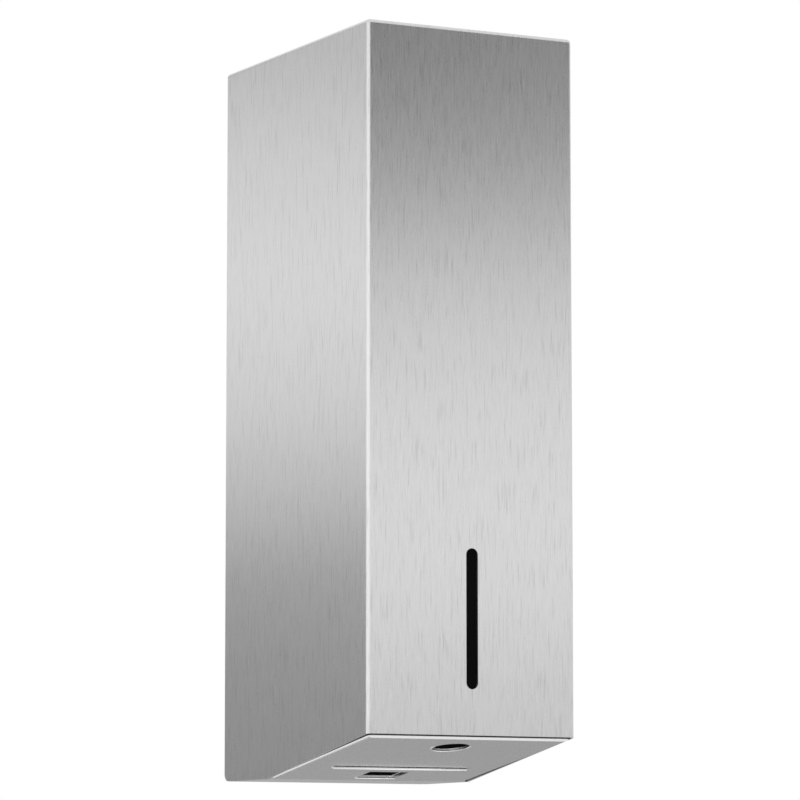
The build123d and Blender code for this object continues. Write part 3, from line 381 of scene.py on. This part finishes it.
# %% Tank, tube and gears
TANK_PLASTIC = plastic("tank_plastic", (0.74, 0.78, 0.79), (0.84, 0.87, 0.87), (0.34, 0.46),
                       through=0.55, milky=0.4)
CAP_PLASTIC = plastic("cap_plastic", (0.022, 0.085, 0.22), (0.03, 0.11, 0.27), (0.3, 0.42))
SILICONE = plastic("silicone", (0.66, 0.66, 0.63), (0.78, 0.78, 0.75), (0.28, 0.38),
                   through=0.35, milky=0.4)
ACETAL = plastic("acetal", (0.72, 0.71, 0.66), (0.80, 0.79, 0.75), (0.28, 0.4), milky=0.15)
print("pale plastics", TANK_PLASTIC.name, CAP_PLASTIC.name, SILICONE.name, ACETAL.name)

# %% [markdown]
# The sight pane looks black from outside, with almost no gloss, so it is a dark solid and not tinted
# glass, which would show the bright tank. Its black is partly the smoke tint of the real pane and
# partly painted shade of the dim inside of the housing. The sensor's lenses, the board and the cells
# are lacquered or polished, and a coat over a darker base gives them that second, sharper reflection.

# %% Panes, board and leads
# Near-black: partly the smoke tint of the pane, partly painted shade of the dim inside behind it.
SMOKED_AND_SHADE = plastic("smoked_pane", (0.001, 0.001, 0.001), (0.002, 0.002, 0.002), (0.3, 0.4),
                 depth=0.000004, sheen=0.04)
LENS_DARK = plastic("lens_dark", (0.010, 0.003, 0.006), (0.018, 0.005, 0.01), (0.06, 0.12),
                    coat=0.5)
LIGHT_GUIDE = plastic("light_guide", (0.66, 0.70, 0.70), (0.76, 0.79, 0.79), (0.2, 0.3),
                      milky=0.3)
BOARD_GREEN = plastic("board_green", (0.006, 0.065, 0.022), (0.010, 0.10, 0.034), (0.16, 0.3),
                      coat=0.4)
TRACK_GREEN = plastic("track_green", (0.022, 0.17, 0.055), (0.03, 0.21, 0.075), (0.16, 0.28),
                      coat=0.4)
CHIP_BLACK = plastic("chip_black", (0.012, 0.012, 0.013), (0.03, 0.03, 0.032), (0.4, 0.6),
                     grain=2600.0)
CONTROL_RED = plastic("control_red", (0.42, 0.03, 0.015), (0.55, 0.05, 0.02), (0.3, 0.42))
LEAD_BLACK = plastic("lead_black", (0.012, 0.012, 0.013), (0.022, 0.022, 0.024), (0.36, 0.5))
CELL_JACKET = plastic("cell_jacket", (0.025, 0.11, 0.20), (0.035, 0.14, 0.25), (0.16, 0.26),
                      coat=0.3)
print("panes", SMOKED_AND_SHADE.name, LENS_DARK.name, LIGHT_GUIDE.name)
print("electronics", BOARD_GREEN.name, TRACK_GREEN.name, CHIP_BLACK.name, CONTROL_RED.name,
      LEAD_BLACK.name, CELL_JACKET.name)

# %% [markdown]
# The pump's cover is clear acrylic. Glass from a plain shader looks like a computer's perfect glass,
# so a faint grain in the roughness breaks it. Its refraction is set lower than that of real acrylic,
# because each side of the thin cover bends the view once more, and the pump behind has to stay in
# sight. The liquid is tinted and only half clear, so that its level shows through the milky tank.

# %% Clear cover and liquid
CLEAR_GRAIN, CLEAR_PATCH = 900.0, 14.0
PATCH_SHADE = 0.96
ACRYLIC_IOR = 1.2


def clear(name, colour, ior, rough):
    material, tree, shader = new_material(name)
    placed = use_group(tree, SKIN, Grain=CLEAR_GRAIN, Patch=CLEAR_PATCH)
    deep = tuple(PATCH_SHADE * part for part in colour)
    tree.links.new(shade(tree, placed.outputs["Patch"], deep, colour), shader.inputs["Base Color"])
    tree.links.new(to_range(tree, placed.outputs["Grain"], *rough), shader.inputs["Roughness"])
    shader.inputs["Transmission Weight"].default_value = 1.0
    shader.inputs["IOR"].default_value = ior
    return material


CLEAR_ACRYLIC = clear("clear_acrylic", (0.93, 0.96, 0.97), ACRYLIC_IOR, (0.02, 0.05))
LIQUID = plastic("sanitizer_liquid", (0.24, 0.62, 0.82), (0.30, 0.68, 0.88), (0.02, 0.06),
                 through=0.3)
print("clear", CLEAR_ACRYLIC.name, "half clear", LIQUID.name)

# %% [markdown]
# The construction pieces keep their shapes: folded sheet, turned pins and gear teeth are already
# right in the frame. They need only their finishes, which are given out here by name, so that a
# piece can be found and changed in one line.

# %% Dressing the pieces
FINISHES = [
    (HOOD_STEEL, ["hood_shell"]),
    (PAN_STEEL, ["bottom_pan", "drive_motor"]),
    (CHASSIS_STEEL, ["back_plate", "lock_keeper", "support_deck", "tank_rest", "drive_bracket",
                     "hinge_straps"]),
    (FASTENER_STEEL, ["hinge_pins", "plate_screws", "pump_screws", "stud_nuts", "motor_screws",
                      "bracket_screws", "board_screws", "cam_screw", "pump_shaft", "roller_pins",
                      "motor_spindle", "lock_cam", "lock_nut"]),
    (LOCK_CHROME, ["lock_barrel", "lock_plug", "sensor_divider"]),
    (TANK_PLASTIC, ["tank", "tank_lid", "feed_nipple"]),
    (CAP_PLASTIC, ["filler_cap"]),
    # The pane's near-black is partly smoke tint and partly painted shade.
    (SMOKED_AND_SHADE, ["sight_pane"]),
    (RUBBER, ["hood_buffers", "cap_seal", "deck_grommet"]),
    (BLACK_MOULDED, ["pump_block"]),
    # Nozzle and sensor housing: black plastic darkened with painted shade of their recesses.
    (BLACK_AND_RECESS_SHADE, ["outlet_nozzle", "sensor_housing"]),
    (CLEAR_ACRYLIC, ["pump_cover"]),
    (SILICONE, ["pump_tube"]),
    (ACETAL, ["pump_rotor", "drive_gear", "roller_a", "roller_b", "roller_c"]),
    (BRASS, ["motor_pinion", "board_standoffs"]),
    (CONTACT_METAL, ["motor_tags", "battery_contacts"]),
    (BATTERY_PLASTIC, ["battery_box", "battery_door"]),
    (CELL_JACKET, ["battery_cells"]),
    (BOARD_GREEN, ["control_board"]),
    (CHIP_BLACK, ["board_chips"]),
    (CONTROL_RED, ["dose_slider", "power_button"]),
    (LENS_DARK, ["sensor_lenses"]),
    (LIGHT_GUIDE, ["status_light"]),
    (LEAD_BLACK, ["battery_lead", "motor_lead", "sensor_lead"]),
]


def dress():
    dressed = set()
    for material, names in FINISHES:
        for name in names:
            for holder in nodes[name].material_slots:
                holder.material = material
            dressed.add(name)
    return dressed


dressed = dress()
print("dressed", len(dressed), "left over", sorted(set(nodes) - dressed))

# %% [markdown]
# The trim is nearly all thin round bar: rolled edges, a cord, ribs and tracks. A curve object with a
# bevel could make it, but its ends would be cut off square. A tube is as quickly built as a mesh: a
# ring of corners at each point of a path, joined to the next ring. Its first and last rings are
# drawn in, so that the ends look rounded off.

# %% Sweeping a tube
END_SHARE = 0.25
NOT_ALONG = Vector((0.0, 0.15, 1.0))  # no path here runs this way, so it can set the rings' sides


def add_piece(name, work, material, body):
    """Turn the built mesh into an object that moves with a body of the frame."""
    mesh = bpy.data.meshes.new(name)
    work.to_mesh(mesh)
    work.free()
    mesh.materials.append(material)
    made = add_object(name, mesh)
    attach(made, body)
    return made


def bridge(work, lower, upper):
    """Join two rings of the same number of corners with a band of faces."""
    for index in range(len(lower)):
        after = (index + 1) % len(lower)
        work.faces.new((lower[index], lower[after], upper[after], upper[index]))


def join_rings(work, rings):
    for lower, upper in zip(rings, rings[1:]):
        bridge(work, lower, upper)
    work.faces.new(rings[0][::-1])
    work.faces.new(rings[-1])


def tube_ring(work, middle, run, size, sides):
    across = run.cross(NOT_ALONG).normalized()
    up = across.cross(run)
    turns = [2 * math.pi * step / sides for step in range(sides)]
    return [work.verts.new(middle + size * (math.cos(turn) * across + math.sin(turn) * up))
            for turn in turns]


def swept(name, path, radius, sides, material):
    """A round bar along path, a list of points. The points and the radius are in millimetres."""
    work = bmesh.new()
    points = [Vector(point) * MM for point in path]
    last = len(points) - 1
    rings = []
    for index, point in enumerate(points):
        run = (points[min(index + 1, last)] - points[max(index - 1, 0)]).normalized()
        size = radius * MM if 0 < index < last else radius * MM * END_SHARE
        rings.append(tube_ring(work, point, run, size, sides))
    join_rings(work, rings)
    bmesh.ops.recalc_face_normals(work, faces=work.faces)
    for face in work.faces:
        face.smooth = True
    return add_piece(name, work, material, "chassis")


print("tubes have ends of", END_SHARE, "of their radius")

# %% [markdown]
# The pan's openings have rolled edges: a bead behind the slit that holds the drip tray, a sill behind
# the sensor window, and a ring round the outlet that is open towards the front. A bevel on the sheet
# would be too fine to see, but a real round edge catches the light, so each edge is a tube that is
# sunk into the sheet by about a half.

# %% Beads on the pan
PAN_FRONT, PAN_FRONT_BOTTOM = -140.3, -145.6
PAN_FOLD, PAN_FOLD_BOTTOM = -45.0, -160.5
BEAD_BELOW_PAN, BEAD_SIDES = 0.1, 16
RIM_ABOVE_PAN, RIM_SIDES, RIM_STEPS = 0.12, 12, 40


def pan_under(y):
    """Height of the pan's lower face at y, in millimetres."""
    share = (y - PAN_FRONT) / (PAN_FOLD - PAN_FRONT)
    return PAN_FRONT_BOTTOM + share * (PAN_FOLD_BOTTOM - PAN_FRONT_BOTTOM)


def cross_bead(name, y, left, right, radius):
    height = pan_under(y) - BEAD_BELOW_PAN
    ends = (left, left + radius, right - radius, right)
    return swept(name, [(x, y, height) for x in ends], radius, BEAD_SIDES, EDGE_STEEL_AND_HIGHLIGHT)


def arc_bead(name, y, circle, radius, begin, finish):
    """A bead on part of a circle, from begin to finish in degrees."""
    path = []
    for step in range(RIM_STEPS + 1):
        turn = math.radians(begin + (finish - begin) * step / RIM_STEPS)
        along = y + circle * math.sin(turn)
        path.append((circle * math.cos(turn), along, pan_under(along) + RIM_ABOVE_PAN))
    return swept(name, path, radius, RIM_SIDES, EDGE_STEEL_AND_HIGHLIGHT)


# The beads take a lighter steel than the pan they are rolled from; the lighter tone is a painted
# highlight on the edges.
EDGE_STEEL_AND_HIGHLIGHT = turned_metal("edge_steel_and_highlight", (0.70, 0.70, 0.70), (0.78, 0.78, 0.78), (0.22, 0.32))
beads = [
    cross_bead("tray_bead", y=-75.0, left=-33.5, right=33.5, radius=0.95),
    cross_bead("window_sill", y=-51.6, left=-10.6, right=9.8, radius=0.5),
    arc_bead("outlet_rim", y=-122.2, circle=8.45, radius=0.42, begin=-25.0, finish=190.0),
]
print("beads", [bead.name for bead in beads])

# %% [markdown]
# A thin black cord lies in the gap between the hood and the pan. It is painted shade: the dark line
# round the pan, seen from below, is the shade in that gap, and the black rubber cord stands in for
# it. The gap could be left empty, but bright steel on both sides of it would fill it with
# reflections. The cord's points are listed for one side and mirrored for the other, and its height
# follows the slope of the hood's rim.

# %% Black cord, painted shade in the seam
HOOD_FRONT, HOOD_RIM = -142.0, -144.0
CORD_BELOW_RIM, CORD_ABOVE_FOLD = 0.12, 0.5
CORD_GAP, CORD_SIZE, CORD_SIDES = 48.62, 0.3, 12
CORD_SIDE = [(CORD_GAP, -47.0), (CORD_GAP, -138.9), (48.2, -140.2), (46.9, -140.7)]


def cord_height(y):
    share = (y - HOOD_FRONT) / (PAN_FOLD - HOOD_FRONT)
    return HOOD_RIM - CORD_BELOW_RIM + share * (PAN_FOLD_BOTTOM + CORD_ABOVE_FOLD - HOOD_RIM)


# The black cord is painted shade: it stands in for the shade in the seam between hood and pan.
cord_path = [(-x, y) for x, y in CORD_SIDE] + CORD_SIDE[::-1]
cord = swept("seam_shade_cord", [(x, y, cord_height(y)) for x, y in cord_path], CORD_SIZE, CORD_SIDES,
             RUBBER)
print("cord", cord.name, "points", len(cord_path))

# %% [markdown]
# The liquid fills the sump and the lower part of the tank. A boolean with the tank's inside would
# leave it touching the walls, which renders as flickering patches, so it is a mesh of its own, a
# little clear of them. It is a stack of rounded outlines, each joined to the next, and the last
# one is its level.

# %% Liquid in the tank
CORNER_STEPS = 6
LIQUID_LEVEL = 58.0
SUMP_FLOOR = ((-17.0, 17.0), (-135.0, -115.0), 3.0)
SUMP_WALL = ((-18.0, 18.0), (-136.0, -114.0), 4.0)
TANK_FLOOR = ((-41.0, 41.0), (-135.0, -49.0), 6.0)
TANK_WALL = ((-42.0, 42.0), (-136.0, -48.0), 7.0)
LIQUID_LAYERS = [(-116.5, *SUMP_FLOOR), (-115.5, *SUMP_WALL), (-60.5, *SUMP_WALL),
                 (-59.6, *TANK_FLOOR), (-58.6, *TANK_WALL), (LIQUID_LEVEL, *TANK_WALL)]


def outline(x, y, rounding):
    """Points of a rounded rectangle. x and y are each (low, high) in millimetres."""
    left, right = x[0] + rounding, x[1] - rounding
    front, back = y[0] + rounding, y[1] - rounding
    points = []
    for across, deep, begin in ((right, back, 0), (left, back, 90), (left, front, 180),
                                (right, front, 270)):
        for step in range(CORNER_STEPS + 1):
            turn = math.radians(begin + 90.0 * step / CORNER_STEPS)
            points.append((across + rounding * math.cos(turn), deep + rounding * math.sin(turn)))
    return points


def stack(name, layers, material):
    """Layers are (height, x range, y range, rounding) in millimetres, from the lowest up."""
    work = bmesh.new()
    rings = [[work.verts.new(Vector((x, y, height)) * MM) for x, y in outline(*shape)]
             for height, *shape in layers]
    join_rings(work, rings)
    return add_piece(name, work, material, "chassis")


liquid = stack("sanitizer_liquid", LIQUID_LAYERS, LIQUID)
print("liquid", liquid.name, "up to", LIQUID_LEVEL, "mm")

# %% [markdown]
# The tank is blow-moulded, and its level marks are ribs of the same plastic on its front. They could
# be a bump, but a bump casts no shadow in the milky wall, so they are small bars. Every second one
# is longer, as on a measuring jug.

# %% Level ribs
RIB_FACE, RIB_END, RIB_TAPER = -138.0, 34.0, 1.0
RIB_STARTS = (10.0, 18.0)  # a long rib, then a short one
RIB_HEIGHTS = range(-40, 90, 20)
RIB_SIZE, RIB_SIDES = 0.45, 10

for count, height in enumerate(RIB_HEIGHTS):
    start = RIB_STARTS[count % 2]
    stretch = (start, start + RIB_TAPER, RIB_END - RIB_TAPER, RIB_END)
    swept("level_rib", [(x, RIB_FACE, height) for x in stretch], RIB_SIZE, RIB_SIDES, TANK_PLASTIC)
print("level ribs", len(RIB_HEIGHTS))

# %% [markdown]
# Printed tracks stand a little proud of the board under its green lacquer. A picture of them would
# be flat, so each is a thin bar that runs across the board, turns off at a slant and then goes
# straight up to its chip, as a board maker routes them.

# %% Board tracks
BOARD_FACE = -12.1
TRACK_SIZE, TRACK_SIDES = 0.2, 8
SLANT_SHARE = 0.5
TRACKS = [  # from x and z, to x and z, in millimetres
    (-31, -90, -22, -80), (-31, -92, -14, -79), (-31, -94, -6, -79), (-31, -96, 2, -80),
    (-31, -98, 10, -81), (-28, -128, -12, -116), (-26, -130, -2, -114), (-24, -131, 8, -112),
    (31, -100, 14, -88), (31, -103, 6, -86), (31, -106, -2, -92), (30, -124, 12, -110),
    (30, -127, 4, -108), (30, -130, -4, -106),
]

for x_from, z_from, x_to, z_to in TRACKS:
    slant = min(abs(x_to - x_from), abs(z_to - z_from)) * SLANT_SHARE
    turn_off = x_to - math.copysign(slant, x_to - x_from)
    route = [(x_from, z_from), (turn_off, z_from), (x_to, z_from + slant), (x_to, z_to)]
    swept("board_track", [(x, BOARD_FACE, z) for x, z in route], TRACK_SIZE, TRACK_SIDES,
          TRACK_GREEN)
print("tracks", len(TRACKS))

# %% [markdown]
# Each cell carries a bright band round its jacket near one end. A second material on the cell's own
# faces would need an edge there, so the band is a short wide tube a hair larger than the cell.

# %% Bands on the cells
CELL_MIDDLES = (-22.5, -7.5, 7.5, 22.5)
CELL_HEIGHT, CELL_RADIUS = 122.8, 7.2
BAND_PROUD, BAND_SIDES = 0.04, 48
BAND_EDGES = (-41.0, -40.99, -36.01, -36.0)

for middle in CELL_MIDDLES:
    swept("cell_band", [(middle, y, CELL_HEIGHT) for y in BAND_EDGES], CELL_RADIUS + BAND_PROUD,
          BAND_SIDES, CONTACT_METAL)
print("cell bands", len(CELL_MIDDLES))

# %% [markdown]
# The dispenser was photographed on plain white. A white world gives that ground, but at full strength
# it would flood every matt piece, so only the camera, reflections and clear pieces see it white, and
# what it casts on the pieces is dimmer. A Light Path node tells those rays apart.

# %% World
WORLD_LIGHT = 0.62
WHITE = (1.0, 1.0, 1.0, 1.0)
WHITE_RAYS = ("Is Camera Ray", "Is Glossy Ray", "Is Transmission Ray")


def any_ray(tree, labels):
    """One for each kind of ray that is named, and nought for all others."""
    path = node(tree, "ShaderNodeLightPath")
    found = path.outputs[labels[0]]
    for label in labels[1:]:
        either = node(tree, "ShaderNodeMath", operation="MAXIMUM")
        tree.links.new(found, either.inputs[0])
        tree.links.new(path.outputs[label], either.inputs[1])
        found = either.outputs[0]
    return found


def background(tree, strength):
    made = node(tree, "ShaderNodeBackground")
    made.inputs["Color"].default_value = WHITE
    made.inputs["Strength"].default_value = strength
    return made.outputs[0]


def make_world():
    world = bpy.data.worlds.new("studio")
    world.use_nodes = True
    scene.world = world
    tree = world.node_tree
    tree.nodes.clear()
    mix = node(tree, "ShaderNodeMixShader")
    tree.links.new(any_ray(tree, WHITE_RAYS), mix.inputs["Fac"])
    tree.links.new(background(tree, WORLD_LIGHT), mix.inputs[1])
    tree.links.new(background(tree, 1.0), mix.inputs[2])
    out = node(tree, "ShaderNodeOutputWorld")
    tree.links.new(mix.outputs[0], out.inputs["Surface"])
    return world


print("world", make_world().name, "light", WORLD_LIGHT)

# %% [markdown]
# Far below the dispenser lies a sheet of pale paper, which bounces some light up, as a table would.
# It would look grey beside the white ground, so it glows a little, for the camera only. From below
# it would hide the dispenser, so it is clear from its back side, which the Backfacing output tells.

# %% Floor
FLOOR_HEIGHT = -1.15
FLOOR_REACH = 7.0
PAPER_GRAIN, PAPER_PATCH = 300.0, 2.0
PAPER_DARK, PAPER_LIGHT = (0.80, 0.80, 0.80), (0.83, 0.83, 0.83)
PAPER_ROUGHNESS = 0.9
PAPER_GLOW = 0.32
SHEET_SIGNS = ((-1, -1), (1, -1), (1, 1), (-1, 1))


def flat_sheet(name, half_width, half_height, level):
    mesh = bpy.data.meshes.new(name)
    points = [(x * half_width, y * half_height, level) for x, y in SHEET_SIGNS]
    mesh.from_pydata(points, [], [(0, 1, 2, 3)])
    return add_object(name, mesh)


def floor_paper():
    material, tree, shader = new_material("floor_paper")
    placed = use_group(tree, SKIN, Grain=PAPER_GRAIN, Patch=PAPER_PATCH)
    tree.links.new(shade(tree, placed.outputs["Patch"], PAPER_DARK, PAPER_LIGHT),
                   shader.inputs["Base Color"])
    shader.inputs["Roughness"].default_value = PAPER_ROUGHNESS
    glow = node(tree, "ShaderNodeMath", operation="MULTIPLY")
    glow.inputs[1].default_value = PAPER_GLOW
    tree.links.new(any_ray(tree, ["Is Camera Ray"]), glow.inputs[0])
    shader.inputs["Emission Color"].default_value = WHITE
    tree.links.new(glow.outputs[0], shader.inputs["Emission Strength"])
    side = node(tree, "ShaderNodeNewGeometry")
    nothing = node(tree, "ShaderNodeBsdfTransparent")
    mix = node(tree, "ShaderNodeMixShader")
    tree.links.new(side.outputs["Backfacing"], mix.inputs["Fac"])
    tree.links.new(shader.outputs[0], mix.inputs[1])
    tree.links.new(nothing.outputs[0], mix.inputs[2])
    tree.links.new(mix.outputs[0], tree.nodes["Material Output"].inputs["Surface"])
    return material


floor = flat_sheet("floor", FLOOR_REACH, FLOOR_REACH, FLOOR_HEIGHT)
floor.data.materials.append(floor_paper())
print("floor", floor.name, "at", FLOOR_HEIGHT)

# %% [markdown]
# Steel shows only what stands round it, so a photographer sets up cards and flags beside the camera.
# A card here is a plane that only reflections see: it lights nothing and casts no shadow, so it can
# stand anywhere. A lamp would leave one bright patch, while a card's grey runs up it through a
# colour ramp, like a sprayed backdrop, and that is what puts a soft gradient on flat steel.

# %% Cards
HIDDEN_FROM = ("camera", "diffuse", "transmission", "shadow", "volume_scatter")


def card_ramp(tree, stops, height):
    """A colour ramp up the card, from its lower edge to its upper one."""
    place = node(tree, "ShaderNodeTexCoord")
    split = node(tree, "ShaderNodeSeparateXYZ")
    tree.links.new(place.outputs["Object"], split.inputs[0])
    along = node(tree, "ShaderNodeMapRange")
    along.inputs["From Min"].default_value = -height / 2
    along.inputs["From Max"].default_value = height / 2
    tree.links.new(split.outputs["Y"], along.inputs["Value"])
    ramp = node(tree, "ShaderNodeValToRGB")
    ramp.color_ramp.interpolation = "EASE"
    marks = ramp.color_ramp.elements
    while len(marks) < len(stops):
        marks.new(0.5)
    for mark, (rise, grey) in zip(marks, stops):
        mark.position = (rise + height / 2) / height
        mark.color = (grey, grey, grey, 1.0)
    tree.links.new(along.outputs["Result"], ramp.inputs["Fac"])
    return ramp.outputs["Color"]


def card_finish(name, stops, height, strength):
    material = bpy.data.materials.new(name)
    material.use_nodes = True
    tree = material.node_tree
    tree.nodes.clear()
    glow = node(tree, "ShaderNodeEmission")
    glow.inputs["Strength"].default_value = strength
    tree.links.new(card_ramp(tree, stops, height), glow.inputs["Color"])
    out = node(tree, "ShaderNodeOutputMaterial")
    tree.links.new(glow.outputs[0], out.inputs["Surface"])
    return material


def card(name, centre, aim, width, height, stops, strength=1.0):
    """Stops are (height above the card's middle in metres, grey), from the lowest up."""
    made = flat_sheet(name, width / 2, height / 2, 0.0)
    toward = Vector(aim) - Vector(centre)
    turn = toward.to_track_quat("Z", "Y").to_matrix().to_4x4()
    made.matrix_world = Matrix.Translation(centre) @ turn
    made.data.materials.append(card_finish(name, stops, height, strength))
    for ray in HIDDEN_FROM:
        setattr(made, "visible_" + ray, False)
    return made


print("a card is hidden from", len(HIDDEN_FROM), "kinds of ray")

# %% [markdown]
# The two large cards stand where the camera sees them mirrored in the front and in the left side.
# Their stops follow the greys on the housing from the bottom up: the front is bright low down and
# dark above, and the side is dark low down and bright above. A small dark card before each of them
# deepens one corner, the front's upper left one and the side's lower front one.

# %% Cards for the front and the side
FRONT_STOPS = [(-0.36, 0.60), (-0.16, 0.75), (-0.09, 0.98), (0.0, 0.94), (0.09, 0.84),
               (0.14, 0.55), (0.18, 0.38), (0.24, 0.30)]
SIDE_STOPS = [(-0.36, 0.28), (-0.15, 0.36), (-0.09, 0.41), (-0.03, 0.68), (0.03, 0.87),
              (0.10, 0.95), (0.16, 0.86), (0.26, 0.60)]
cards = [
    card("card_front", (0.32, -0.76, 0.06), aim=(0.0, -0.142, 0.06), width=1.5, height=0.9,
         stops=FRONT_STOPS, strength=1.1),
    card("card_side", (-0.37, 0.55, 0.06), aim=(-0.05, -0.07, 0.06), width=1.3, height=0.9,
         stops=SIDE_STOPS, strength=1.1),
    card("card_corner", (0.07, -0.885, 0.43), aim=(-0.25, -0.267, 0.43), width=0.56, height=0.46,
         stops=[(-0.23, 0.38), (-0.05, 0.13)]),
    card("card_side_corner", (-0.68, 0.367, -0.20), aim=(-0.36, -0.253, -0.20), width=0.5,
         height=0.44, stops=[(-0.05, 0.14), (0.22, 0.44)]),
]
print("cards", [made.name for made in cards])

# %% [markdown]
# The bends and the underside mirror other places, so they have cards of their own, each where the
# camera's view is thrown back to. One at the left serves the bend between front and side, one below
# the bend at the foot of the front, and a small one low at the back the lower edge of the side.
# The next serves the right side, which other views show, and the last is what the underside mirrors.

# %% Cards for the bends and the underside
cards += [
    card("card_bend", (-0.85, -0.58, 0.05), aim=(-0.05, -0.142, 0.05), width=1.8, height=1.4,
         stops=[(-0.6, 0.66), (-0.25, 0.94), (0.1, 1.0), (0.6, 0.72)], strength=1.32),
    card("card_bounce", (0.25, -0.22, -0.70), aim=(0.0, -0.14, -0.145), width=0.9, height=0.8,
         stops=[(-0.4, 0.8), (0.0, 1.0)], strength=1.28),
    card("card_kicker", (-0.22, 0.60, -0.50), aim=(-0.05, -0.09, -0.15), width=0.5, height=0.3,
         stops=[(-0.15, 1.0), (0.15, 1.0)], strength=1.5),
    card("card_right", (0.55, 0.52, 0.10), aim=(0.05, -0.07, 0.08), width=0.9, height=0.8,
         stops=[(-0.4, 0.45), (-0.15, 0.72), (0.1, 1.0), (0.3, 0.8)]),
    card("card_below", (0.55, 0.80, -0.52), aim=(0.0, -0.09, -0.155), width=0.9, height=0.7,
         stops=[(-0.35, 0.40), (0.35, 0.46)]),
]
print("cards in all", len(cards))

# %% [markdown]
# Two soft lamps light what isn't metal: the tank, the plastics and the inside when the hood is open.
# Small lamps would give hard shadows in there, so both are wide areas. They are hidden from glossy
# rays, because the cards already draw the reflections.

# %% Lamps
LAMP_AIM = Vector((0.0, -0.07, 0.0))


def softbox(name, place, width, height, power):
    data = bpy.data.lights.new(name, "AREA")
    data.shape = "RECTANGLE"
    data.size = width
    data.size_y = height
    data.energy = power
    lamp = add_object(name, data)
    lamp.location = place
    lamp.rotation_mode = "QUATERNION"
    lamp.rotation_quaternion = (LAMP_AIM - Vector(place)).to_track_quat("-Z", "Y")
    lamp.visible_glossy = False
    return lamp


lamps = [
    softbox("softbox_left", (-1.5, -1.0, 0.35), width=0.7, height=1.3, power=7.0),
    softbox("softbox_top", (0.3, -0.9, 1.6), width=1.2, height=0.8, power=8.0),
]
print("lamps", [lamp.name for lamp in lamps])
